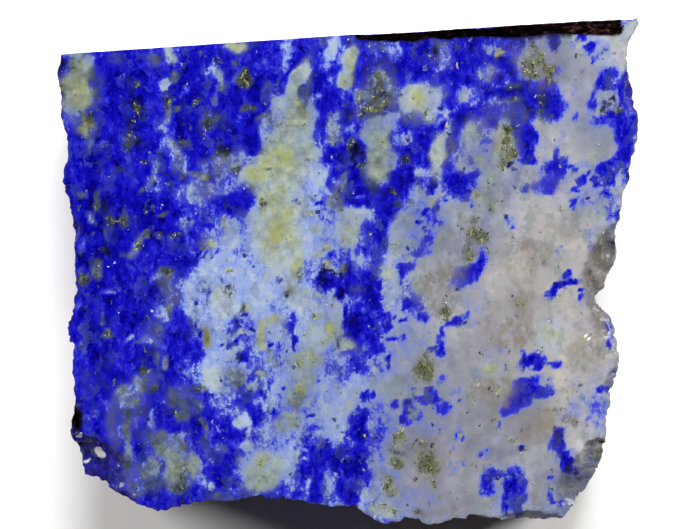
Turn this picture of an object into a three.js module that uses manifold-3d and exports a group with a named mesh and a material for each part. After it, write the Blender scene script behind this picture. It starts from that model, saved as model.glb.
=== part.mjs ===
// Rough lapis lazuli: one solid slab of rock, lying on its back.
// A diamond saw has cut three of its faces flat: the front, the back and one long side.
// The other sides are broken rock, scalloped by hammer scars, with chips along the rim.
import * as THREE from 'three';
import { ImprovedNoise } from 'three/addons/math/ImprovedNoise.js';
import { mergeVertices } from 'three/addons/utils/BufferGeometryUtils.js';
import Module from 'manifold-3d';

// Driving dimensions, in millimetres. +X runs along the slab, the long sawn side faces +Y,
// +Z comes out of the sawn front, and the sawn back lies in the plane z = 0.
const LENGTH = 64.5;
const WIDTH = 56.1;
const THICKNESS = 14.0;

// The long saw cut, as the line in plan that it follows from the left end to the right.
const SAW_START = [-31.1, 24.1];
const SAW_END = [30.1, 28.15];
const SAW_OVERRUN = 12.0;

// The rim of the front face, anticlockwise, as x, y and lean. The lean is how far the foot of
// the broken side stands out from the rim (+) or is cut back under it (-).
const SAWN_RIM = [
  [31.9, 28.0, 1.7], [31.0, 27.1, 2.0], [29.6, 26.1, 3.6], [25.8, 25.8, 5.6],
  [16.9, 25.7, 5.0], [10.0, 25.4, 4.0], [4.7, 25.2, 3.6], [1.3, 25.6, 3.2],
  [-0.8, 27.2, 3.0], [-3.0, 32.0, 0.0], [-10.0, 34.0, 0.0], [-24.0, 33.0, 0.0],
  [-31.0, 29.0, -0.2],
];
const LEFT_RIM = [
  [-31.6, 24.6, -0.4], [-32.0, 23.0, -0.8], [-32.3, 22.0, -1.2], [-31.7, 20.7, -1.6],
  [-31.7, 17.3, -1.8], [-31.2, 14.6, -1.4], [-31.3, 12.2, -1.2], [-32.0, 10.4, -1.0],
  [-31.5, 8.6, -1.2], [-30.7, 7.0, -1.6], [-30.3, 3.6, -2.0], [-30.6, 1.4, -2.2],
  [-30.2, -2.0, -2.0], [-30.4, -4.6, -1.4], [-30.8, -6.2, -1.0], [-30.4, -7.6, -1.2],
  [-30.3, -10.6, -1.4], [-30.0, -14.1, -1.6], [-30.8, -17.0, -0.4], [-30.6, -18.3, 0.4],
  [-29.8, -19.5, 0.8],
];
const BOTTOM_RIM = [
  [-29.2, -20.4, 1.0], [-29.5, -21.7, 1.0], [-27.6, -22.6, 0.8], [-26.4, -23.6, 0.5],
  [-24.8, -24.0, -0.4], [-22.9, -24.9, -1.4], [-20.9, -25.8, -2.4], [-18.6, -25.5, -3.0],
  [-15.7, -24.8, -3.4], [-12.2, -24.6, -4.2], [-11.1, -24.1, -4.4], [-9.4, -24.3, -4.4],
  [-8.4, -24.6, -4.4], [-7.3, -24.1, -4.4], [-6.1, -24.7, -4.4], [-4.0, -25.0, -4.2],
  [-2.4, -25.3, -4.0], [0.4, -25.4, -3.8], [1.2, -25.8, -3.6], [2.1, -26.6, -3.4],
  [3.8, -27.5, -3.0], [5.0, -27.3, -2.6], [6.8, -26.5, -2.2], [8.6, -27.1, -1.6],
  [11.0, -26.7, -0.6],
  [13.6, -26.2, 0.4], [16.4, -26.4, 1.3], [20.0, -26.3, 1.2], [23.0, -26.4, 1.1],
];
const RIGHT_RIM = [
  [24.3, -26.2, 0.9], [25.2, -25.2, 0.8], [26.2, -24.0, 0.8], [27.3, -22.8, 0.7],
  [28.2, -21.5, 0.7], [28.7, -19.7, 0.5], [28.6, -17.0, -0.4], [29.2, -14.1, -1.2],
  [30.0, -11.0, -1.4], [30.1, -8.2, -1.2], [29.3, -5.0, 0.2], [28.9, -3.8, 0.2],
  [27.7, -2.9, 0.3], [28.3, -1.1, 0.9], [29.8, 0.8, 1.2], [29.4, 3.6, 0.4],
  [30.0, 5.9, -1.0], [30.4, 8.6, -1.0], [31.6, 11.0, -1.4], [32.1, 13.7, -1.8],
  [32.3, 16.3, -1.8], [31.7, 19.0, -0.8], [31.1, 21.0, 0.0], [31.0, 23.5, 0.3],
  [31.1, 25.2, 0.7], [32.0, 26.8, 1.3],
];

// The broken sides: facets round them, rings down them, and the waste above and below, which
// the saw takes off with a thicker cut. The foot of every side curls in under the slab.
const FACETS_AROUND = 220;
const RINGS_DOWN = 17;
const SAW_WASTE = 1.2;
const SAWN_OFF = 4.8;
const CURL_START = 0.66;
const CURL_REACH = 3.2;
const CURL_LUMP_SIZE = 4.2;

// The small ins and outs of the rim are gone by this fraction of the way down the sides, where
// the outline is the rim's own, averaged over a length of it.
const BLURRED_BY = 0.5;
const RIM_BLUR = 7.0;
const BLUR_STEPS = 3;

// Hammer scars are shallow bowls, tilted every way, that meet in ridges and ledges: large ones,
// and small ones over them. A sharper set passes from scar to scar over a shorter distance.
const LARGE_SCARS = { count: 90, reach: 6.5, depth: 2.4, tilt: 0.5, sharpness: 0.26, seed: 11 };
const SMALL_SCARS = { count: 520, reach: 2.6, depth: 0.8, tilt: 0.4, sharpness: 0.8, seed: 23 };
const LUMP_SIZE = 8.5;
const LUMP_HEIGHT = 1.1;

// The scars are shallow at the rim and reach their full depth at this fraction of the way down.
// The allowance is the rock left outside the rim to make up for what they take there.
const RIM_ROUGHNESS = 0.2;
const ROUGH_BELOW = 0.3;
const RIM_ALLOWANCE = 0.4;

// Where the foot stands out, the old rind of the rock is whole and has few scars.
const UNSCARRED_LEAN = 1.9;
const LEAST_SCARRED = 0.15;

// Chips off the rim. Each is the bowl that a ball leaves: its radius, the place of the deepest
// bite on the rim, the way that the ball lies from there, and how deep it bites.
const CHIPS = [
  { at: [-28.6, -21.0], towards: [-0.4, -0.35, 1.4], radius: 9.0, bite: 1.5 },
  { at: [-30.6, -16.4], towards: [-0.9, 0.1, 1.0], radius: 3.4, bite: 0.7 },
  { at: [-25.6, -24.2], towards: [-0.2, -0.7, 1.2], radius: 6.0, bite: 0.5 },
  { at: [28.7, 0.8], towards: [0.95, -0.25, 1.0], radius: 9.0, bite: 1.7 },
  { at: [28.9, -4.8], towards: [0.9, 0.1, 1.2], radius: 7.0, bite: 0.9 },
  { at: [27.0, -22.0], towards: [0.5, -0.4, 1.4], radius: 10.0, bite: 1.6 },
  { at: [29.5, -12.4], towards: [0.8, 0.0, 1.2], radius: 6.0, bite: 0.4 },
  { at: [20.0, -26.3], towards: [0.1, -1.0, 0.8], radius: 9.0, bite: 0.4 },
  { at: [-9.4, -24.6], towards: [0.1, -0.7, 1.2], radius: 2.2, bite: 0.25 },
  { at: [-31.7, 19.2], towards: [-0.9, 0.0, 1.0], radius: 3.0, bite: 0.35 },
  { at: [-30.4, 4.6], towards: [-0.9, 0.0, 1.0], radius: 4.0, bite: 0.35 },
  { at: [31.2, 20.6], towards: [1.0, 0.0, 0.9], radius: 5.0, bite: 0.5 },
];
const CHIP_DETAIL = 9;
const CHIP_ROUGHNESS = 0.6;
const CHIP_LUMP_SIZE = 2.2;

// Sawn rock with a wet shine: deep blue, half gloss, with too little metal in it to count.
const LAPIS = new THREE.MeshStandardMaterial({ color: 0x3a44b4, roughness: 0.4, metalness: 0.0 });

const wasm = await Module();
wasm.setup();

const lumps = new ImprovedNoise();

function solidFrom(geometry) {
  geometry.deleteAttribute('normal');
  geometry.deleteAttribute('uv');
  const merged = mergeVertices(geometry);
  return new wasm.Manifold(new wasm.Mesh({
    numProp: 3,
    vertProperties: merged.attributes.position.array,
    triVerts: new Uint32Array(merged.index.array),
  }));
}

function geometryFrom(solid) {
  const mesh = solid.getMesh();
  const geometry = new THREE.BufferGeometry();
  geometry.setAttribute('position', new THREE.BufferAttribute(mesh.vertProperties, 3));
  geometry.setIndex(new THREE.BufferAttribute(mesh.triVerts, 1));
  return geometry;
}

// The rim as a closed curve, whose z holds the lean of the side below.
const rim = new THREE.CatmullRomCurve3(
  [...SAWN_RIM, ...LEFT_RIM, ...BOTTOM_RIM, ...RIGHT_RIM].map((p) => new THREE.Vector3(...p)),
  true,
);
rim.arcLengthDivisions = 2000;
const rimLength = rim.getLength();

// Scars strewn over the broken sides, each with a tilt of its own.
function strew({ count, tilt, seed }) {
  THREE.MathUtils.seededRandom(seed);
  const either = () => 2 * THREE.MathUtils.seededRandom() - 1;
  const scars = [];
  for (let i = 0; i < count; i += 1) {
    const centre = rim.getPointAt(THREE.MathUtils.seededRandom());
    centre.z = THICKNESS * THREE.MathUtils.seededRandom();
    const slope = new THREE.Vector3(either(), either(), either()).multiplyScalar(tilt);
    scars.push({ centre, slope });
  }
  return scars;
}

const largeScars = strew(LARGE_SCARS);
const smallScars = strew(SMALL_SCARS);

// How deep the scars cut at a place: the bowl and tilt of the nearest one, blended with those
// of its neighbours close to the ridges.
function scarDepth(place, scars, { reach, depth, sharpness }) {
  const from = new THREE.Vector3();
  let weights = 0;
  let sum = 0;
  for (const { centre, slope } of scars) {
    from.subVectors(place, centre);
    const weight = Math.exp(-sharpness * from.lengthSq());
    const bowl = Math.max(0, 1 - from.lengthSq() / (reach * reach));
    weights += weight;
    sum += weight * bowl * (depth + slope.dot(from));
  }
  return sum / weights;
}

function lumpAt(place, size) {
  return lumps.noise(place.x / size, place.y / size, place.z / size);
}

// The rim with its small ins and outs smoothed away: the mean of the places around this one.
function smoothRim(along) {
  const mean = new THREE.Vector3();
  for (let i = -BLUR_STEPS; i <= BLUR_STEPS; i += 1) {
    const shift = (RIM_BLUR * i) / (2 * BLUR_STEPS * rimLength);
    mean.add(rim.getPointAt(THREE.MathUtils.euclideanModulo(along + shift, 1)));
  }
  return mean.divideScalar(2 * BLUR_STEPS + 1);
}

// The place on the broken side that is a fraction `along` of the way round, at height `height`.
// Everything moves it along the line from the slab's middle, so no two places can cross over.
function placeOnSide(along, height) {
  const down = THREE.MathUtils.clamp(1 - height / THICKNESS, 0, 1);
  const blurred = THREE.MathUtils.smoothstep(down, 0, BLURRED_BY);
  const edge = rim.getPointAt(along).lerp(smoothRim(along), blurred);
  const lean = edge.z;
  const outward = edge.clone().setZ(0).normalize();
  const place = new THREE.Vector3(edge.x, edge.y, height);
  const deepening = THREE.MathUtils.smoothstep(down, 0, ROUGH_BELOW);
  const rough = THREE.MathUtils.lerp(RIM_ROUGHNESS, 1, deepening);
  const scarred = THREE.MathUtils.clamp(1 - lean / UNSCARRED_LEAN, LEAST_SCARRED, 1);
  const largeDepth = scarDepth(place, largeScars, LARGE_SCARS);
  const smallDepth = scarDepth(place, smallScars, SMALL_SCARS);
  const lump = LUMP_HEIGHT * lumpAt(place, LUMP_SIZE);
  const curl = Math.max(0, down - CURL_START) / (1 - CURL_START);
  const curlReach = CURL_REACH * (1 + lumpAt(place, CURL_LUMP_SIZE));
  const standOut = RIM_ALLOWANCE + lean * Math.sin((down * Math.PI) / 2);
  const broken = rough * scarred * (lump - largeDepth - smallDepth);
  const offset = standOut + broken - curlReach * curl * curl;
  return place.addScaledVector(outward, offset);
}

// The rough block before it is sawn: a drum whose wall is carried out to the broken sides.
function roughBlock() {
  const radius = 1;
  const height = THICKNESS + 2 * SAW_WASTE;
  const drum = new THREE.CylinderGeometry(radius, radius, height, FACETS_AROUND, RINGS_DOWN);
  drum.rotateX(Math.PI / 2).translate(0, 0, THICKNESS / 2);
  const position = drum.attributes.position;
  const vertex = new THREE.Vector3();
  for (let i = 0; i < position.count; i += 1) {
    vertex.fromBufferAttribute(position, i);
    const onWall = Math.hypot(vertex.x, vertex.y) > radius / 2;
    if (onWall) {
      const step = Math.round((Math.atan2(vertex.y, vertex.x) / (2 * Math.PI)) * FACETS_AROUND);
      const along = THREE.MathUtils.euclideanModulo(step, FACETS_AROUND) / FACETS_AROUND;
      const place = placeOnSide(along, vertex.z);
      position.setXYZ(i, place.x, place.y, place.z);
    }
  }
  return solidFrom(drum);
}

function box(size, centre, turn = 0) {
  const geometry = new THREE.BoxGeometry(...size);
  return solidFrom(geometry.rotateZ(turn).translate(...centre));
}

// What the saw takes away: a layer off the front, one off the back, and one along the side.
function sawCuts() {
  const sheet = 2 * LENGTH;
  const frontMiddle = THICKNESS + SAWN_OFF / 2;
  const start = new THREE.Vector2(...SAW_START);
  const end = new THREE.Vector2(...SAW_END);
  const turn = end.clone().sub(start).angle();
  const across = new THREE.Vector2(-Math.sin(turn), Math.cos(turn));
  const middle = start.add(end).divideScalar(2).addScaledVector(across, SAW_OVERRUN / 2);
  return [
    box([sheet, sheet, SAWN_OFF], [0, 0, frontMiddle]),
    box([sheet, sheet, SAWN_OFF], [0, 0, -SAWN_OFF / 2]),
    box([sheet, SAW_OVERRUN, sheet], [middle.x, middle.y, THICKNESS / 2], turn),
  ];
}

// One chip: a rough ball set so that it bites the rim by the depth given.
function chip({ at, towards, radius, bite }) {
  const ball = new THREE.IcosahedronGeometry(radius, CHIP_DETAIL);
  const away = new THREE.Vector3(...towards).setLength(radius - bite);
  const centre = new THREE.Vector3(...at, THICKNESS).add(away);
  const position = ball.attributes.position;
  const vertex = new THREE.Vector3();
  for (let i = 0; i < position.count; i += 1) {
    vertex.fromBufferAttribute(position, i);
    const rough = CHIP_ROUGHNESS * lumpAt(vertex.clone().add(centre), CHIP_LUMP_SIZE);
    vertex.setLength(radius + rough).add(centre);
    position.setXYZ(i, vertex.x, vertex.y, vertex.z);
  }
  return solidFrom(ball);
}

let slab = roughBlock();
for (const cut of [...CHIPS.map(chip), ...sawCuts()]) {
  slab = slab.subtract(cut);
}

// The finished slab is brought to its length and width, and stands over the origin.
const geometry = geometryFrom(slab);
geometry.computeBoundingBox();
const size = geometry.boundingBox.getSize(new THREE.Vector3());
const middle = geometry.boundingBox.getCenter(new THREE.Vector3());
geometry.translate(-middle.x, -middle.y, 0);
geometry.scale(LENGTH / size.x, WIDTH / size.y, 1);
geometry.computeVertexNormals();

const stone = new THREE.Mesh(geometry, LAPIS);
stone.name = 'lapis_slab';

const roughLapis = new THREE.Group();
roughLapis.add(stone);

export default roughLapis;
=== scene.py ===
import math

import bmesh
import bpy
import numpy as np
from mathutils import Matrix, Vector, noise
from mathutils.bvhtree import BVHTree
from mathutils.kdtree import KDTree


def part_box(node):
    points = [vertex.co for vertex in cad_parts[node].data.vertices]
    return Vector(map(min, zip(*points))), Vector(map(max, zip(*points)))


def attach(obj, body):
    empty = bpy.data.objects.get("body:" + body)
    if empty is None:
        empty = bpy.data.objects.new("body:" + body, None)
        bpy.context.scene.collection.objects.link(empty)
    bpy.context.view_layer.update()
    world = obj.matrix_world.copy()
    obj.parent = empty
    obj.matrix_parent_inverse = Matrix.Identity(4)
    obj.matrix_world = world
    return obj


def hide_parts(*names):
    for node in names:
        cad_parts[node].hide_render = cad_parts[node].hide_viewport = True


noise.seed_set(5)
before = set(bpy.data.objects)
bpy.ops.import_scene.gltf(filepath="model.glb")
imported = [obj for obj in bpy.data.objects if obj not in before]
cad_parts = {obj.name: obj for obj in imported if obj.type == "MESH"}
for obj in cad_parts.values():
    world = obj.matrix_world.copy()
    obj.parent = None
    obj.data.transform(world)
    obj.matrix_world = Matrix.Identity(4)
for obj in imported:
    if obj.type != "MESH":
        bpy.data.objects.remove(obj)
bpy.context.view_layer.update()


# Camera: it hangs half a metre over the sawn front and looks straight down on it, with the
# long sawn side of the slab at the top of the view. The long lens shows next to no side.
MM = 0.001
CAMERA_PLACE = (0.331 * MM, 0.552 * MM, 514.0 * MM)
LENS = 233.0
SENSOR_WIDTH = 36.0
CLIP_START = 0.02
CLIP_END = 20.0

camera_data = bpy.data.cameras.new("overhead_camera")
camera_data.lens = LENS
camera_data.sensor_width = SENSOR_WIDTH
camera_data.clip_start = CLIP_START
camera_data.clip_end = CLIP_END
camera = bpy.data.objects.new("overhead_camera", camera_data)
camera.location = CAMERA_PLACE
bpy.context.scene.collection.objects.link(camera)
bpy.context.scene.camera = camera
bpy.context.scene.view_settings.view_transform = "Standard"


# Floor: a plain sheet of white paper, which the slab lies on. It is large enough to reach the
# horizon in a low view.
FLOOR_SIZE = 6.0
FLOOR_WHITE = (0.93, 0.93, 0.93, 1.0)
FLOOR_ROUGHNESS = 0.8
FLOOR_SHEEN = 0.1

paper = bmesh.new()
bmesh.ops.create_grid(paper, x_segments=1, y_segments=1, size=FLOOR_SIZE / 2)
floor_mesh = bpy.data.meshes.new("paper_floor")
paper.to_mesh(floor_mesh)
paper.free()
floor = bpy.data.objects.new("paper_floor", floor_mesh)
bpy.context.scene.collection.objects.link(floor)
paper_white = bpy.data.materials.new("paper_white")
paper_white.use_nodes = True
paper_shader = paper_white.node_tree.nodes["Principled BSDF"]
paper_shader.inputs["Base Color"].default_value = FLOOR_WHITE
paper_shader.inputs["Roughness"].default_value = FLOOR_ROUGHNESS
paper_shader.inputs["Specular IOR Level"].default_value = FLOOR_SHEEN
floor_mesh.materials.append(paper_white)


# Lamps: a soft box high over the long sawn side throws the short shadow below the opposite
# edge, and two lower ones light the ends. The room is bright at eye level and dim overhead.
FAR_LIGHT = (1.0, 0.99, 0.98)
SIDE_LIGHT = (1.0, 0.97, 0.93)
ROOM_EYE_LEVEL = (0.11, 0.082, 0.045, 1.0)
ROOM_OVERHEAD = (0.012, 0.01, 0.006, 1.0)
EYE_LEVEL = 0.05
OVERHEAD = 0.55


def soft_box(name, place, width, power, colour):
    """A square area lamp that shines at the slab from `place`; lengths are in metres."""
    lamp = bpy.data.lights.new(name, "AREA")
    lamp.size = width
    lamp.energy = power
    lamp.color = colour
    box = bpy.data.objects.new(name, lamp)
    box.location = place
    box.rotation_euler = (-Vector(place)).to_track_quat("-Z", "Y").to_euler()
    bpy.context.scene.collection.objects.link(box)


soft_box("far_box", (0.06, 0.62, 0.6), width=0.42, power=11.5, colour=FAR_LIGHT)
soft_box("left_box", (-0.56, 0.27, 0.34), width=0.26, power=4.9, colour=SIDE_LIGHT)
soft_box("right_box", (0.56, 0.27, 0.38), width=0.28, power=5.8, colour=SIDE_LIGHT)

room = bpy.data.worlds.new("studio_room")
room.use_nodes = True
bpy.context.scene.world = room
room_nodes = room.node_tree.nodes
room_links = room.node_tree.links
room_place = room_nodes.new("ShaderNodeTexCoord")
room_height = room_nodes.new("ShaderNodeSeparateXYZ")
room_ramp = room_nodes.new("ShaderNodeValToRGB")
room_ramp.color_ramp.elements[0].position = EYE_LEVEL
room_ramp.color_ramp.elements[0].color = ROOM_EYE_LEVEL
room_ramp.color_ramp.elements[1].position = OVERHEAD
room_ramp.color_ramp.elements[1].color = ROOM_OVERHEAD
room_links.new(room_place.outputs["Generated"], room_height.inputs["Vector"])
room_links.new(room_height.outputs["Z"], room_ramp.inputs["Fac"])
room_links.new(room_ramp.outputs["Color"], room_nodes["Background"].inputs["Color"])


# The slab: one lump of lapis lazuli rock. A saw has cut its front, its back and one long side
# flat, and the other sides are broken. Its surface is a copy of the solid's, with the solid
# split into grains a third of a millimetre across and the broken faces roughened.
GRAIN = 0.34 * MM
MERGE = 0.001 * MM
ON_PLANE = 0.02 * MM
UPRIGHT = 0.1
SAWN_ALIGNMENT = 0.9995
CREASE_ANGLE = math.radians(28)
CREASE_STEP = 0.05 * MM
CREASE_REACH = 0.55 * GRAIN
RIM_REACH = 1.1 * MM
SHARP_ANGLE = math.radians(42)
FACET_SIZE = 2.3
FACET_TILT = 0.44
FACET_SHUFFLE = 31.0
CRUMB_SIZE = 0.8
CRUMB_DEPTH = 0.24
SWELL_SIZE = 3.4
SWELL_DEPTH = 0.32

solid = bmesh.new()
solid.from_mesh(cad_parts["lapis_slab"].data)
bmesh.ops.remove_doubles(solid, verts=solid.verts, dist=MERGE)
solid.normal_update()
low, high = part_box("lapis_slab")

slab_mesh = bpy.data.meshes.new("lapis_stone")
solid.to_mesh(slab_mesh)
stone = bpy.data.objects.new("lapis_stone", slab_mesh)
bpy.context.scene.collection.objects.link(stone)
grains = stone.modifiers.new("grains", "REMESH")
grains.mode = "VOXEL"
grains.voxel_size = GRAIN
grains.adaptivity = 0.0
ready = stone.evaluated_get(bpy.context.evaluated_depsgraph_get())
stone.data = bpy.data.meshes.new_from_object(ready)
stone.modifiers.clear()
stone.data.name = "lapis_stone_skin"

# The long saw cut is the plane of the largest face that looks neither up nor down.
upright = [face for face in solid.faces if abs(face.normal.z) < UPRIGHT]
largest = max(upright, key=lambda face: face.calc_area())
saw_normal = largest.normal.copy()
saw_place = largest.calc_center_median()
SAWN_PLANES = [
    (Vector((0, 0, high.z)), Vector((0, 0, 1))),
    (Vector((0, 0, low.z)), Vector((0, 0, -1))),
    (saw_place, saw_normal),
]


def is_sawn(face):
    """Whether a face of the solid lies in one of the three saw cuts."""
    middle = face.calc_center_median()
    for place, normal in SAWN_PLANES:
        level = abs((middle - place).dot(normal)) < ON_PLANE
        if level and face.normal.dot(normal) > SAWN_ALIGNMENT:
            return True
    return False


broken_faces = [face for face in solid.faces if not is_sawn(face)]
solid.verts.ensure_lookup_table()
whole = BVHTree.FromBMesh(solid)
broken = BVHTree.FromPolygons(
    [vert.co.copy() for vert in solid.verts],
    [[vert.index for vert in face.verts] for face in broken_faces],
)


def hackle(place):
    """The roughness of broken rock at a place in millimetres: tilted flats, swells and crumbs."""
    centre = noise.voronoi(place / FACET_SIZE)[1][0]
    tilt = noise.cell_vector(centre * FACET_SHUFFLE) - Vector((0.5, 0.5, 0.5))
    flats = FACET_TILT * tilt.dot(place / FACET_SIZE - centre)
    swells = SWELL_DEPTH * noise.noise(place / SWELL_SIZE)
    crumbs = CRUMB_DEPTH * noise.noise(place / CRUMB_SIZE)
    return (flats + swells + crumbs) * MM


# Points along the creases of the solid, which keep its edges crisp under the grains.
creases = []
for edge in solid.edges:
    if edge.calc_face_angle() > CREASE_ANGLE:
        start, end = (vert.co for vert in edge.verts)
        steps = math.ceil(edge.calc_length() / CREASE_STEP)
        creases += [start.lerp(end, step / steps) for step in range(steps + 1)]
crease_tree = KDTree(len(creases))
for index, place in enumerate(creases):
    crease_tree.insert(place, index)
crease_tree.balance()

# Each point of the skin goes back onto the solid, and the broken faces get their hackle. It
# fades out across the sawn faces, and nothing leaves a saw cut or stands out of it.
brokenness = []
for vert in stone.data.vertices:
    spot = whole.find_nearest(vert.co)[0]
    crease, _, crease_gap = crease_tree.find(spot)
    if crease_gap < CREASE_REACH:
        spot = crease
    _, away, _, gap = broken.find_nearest(spot)
    share = max(0.0, 1.0 - gap / RIM_REACH)
    step = away * (share * share * hackle(spot / MM))
    for place, flat in SAWN_PLANES:
        if abs((spot - place).dot(flat)) < ON_PLANE:
            step -= flat * step.dot(flat)
    moved = spot + step
    for place, flat in SAWN_PLANES:
        moved -= flat * max(0.0, (moved - place).dot(flat))
    vert.co = moved
    brokenness.append(1.0 if gap < ON_PLANE else 0.0)
solid.free()
stone.data.shade_smooth()
stone.data.set_sharp_from_angle(angle=SHARP_ANGLE)


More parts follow.
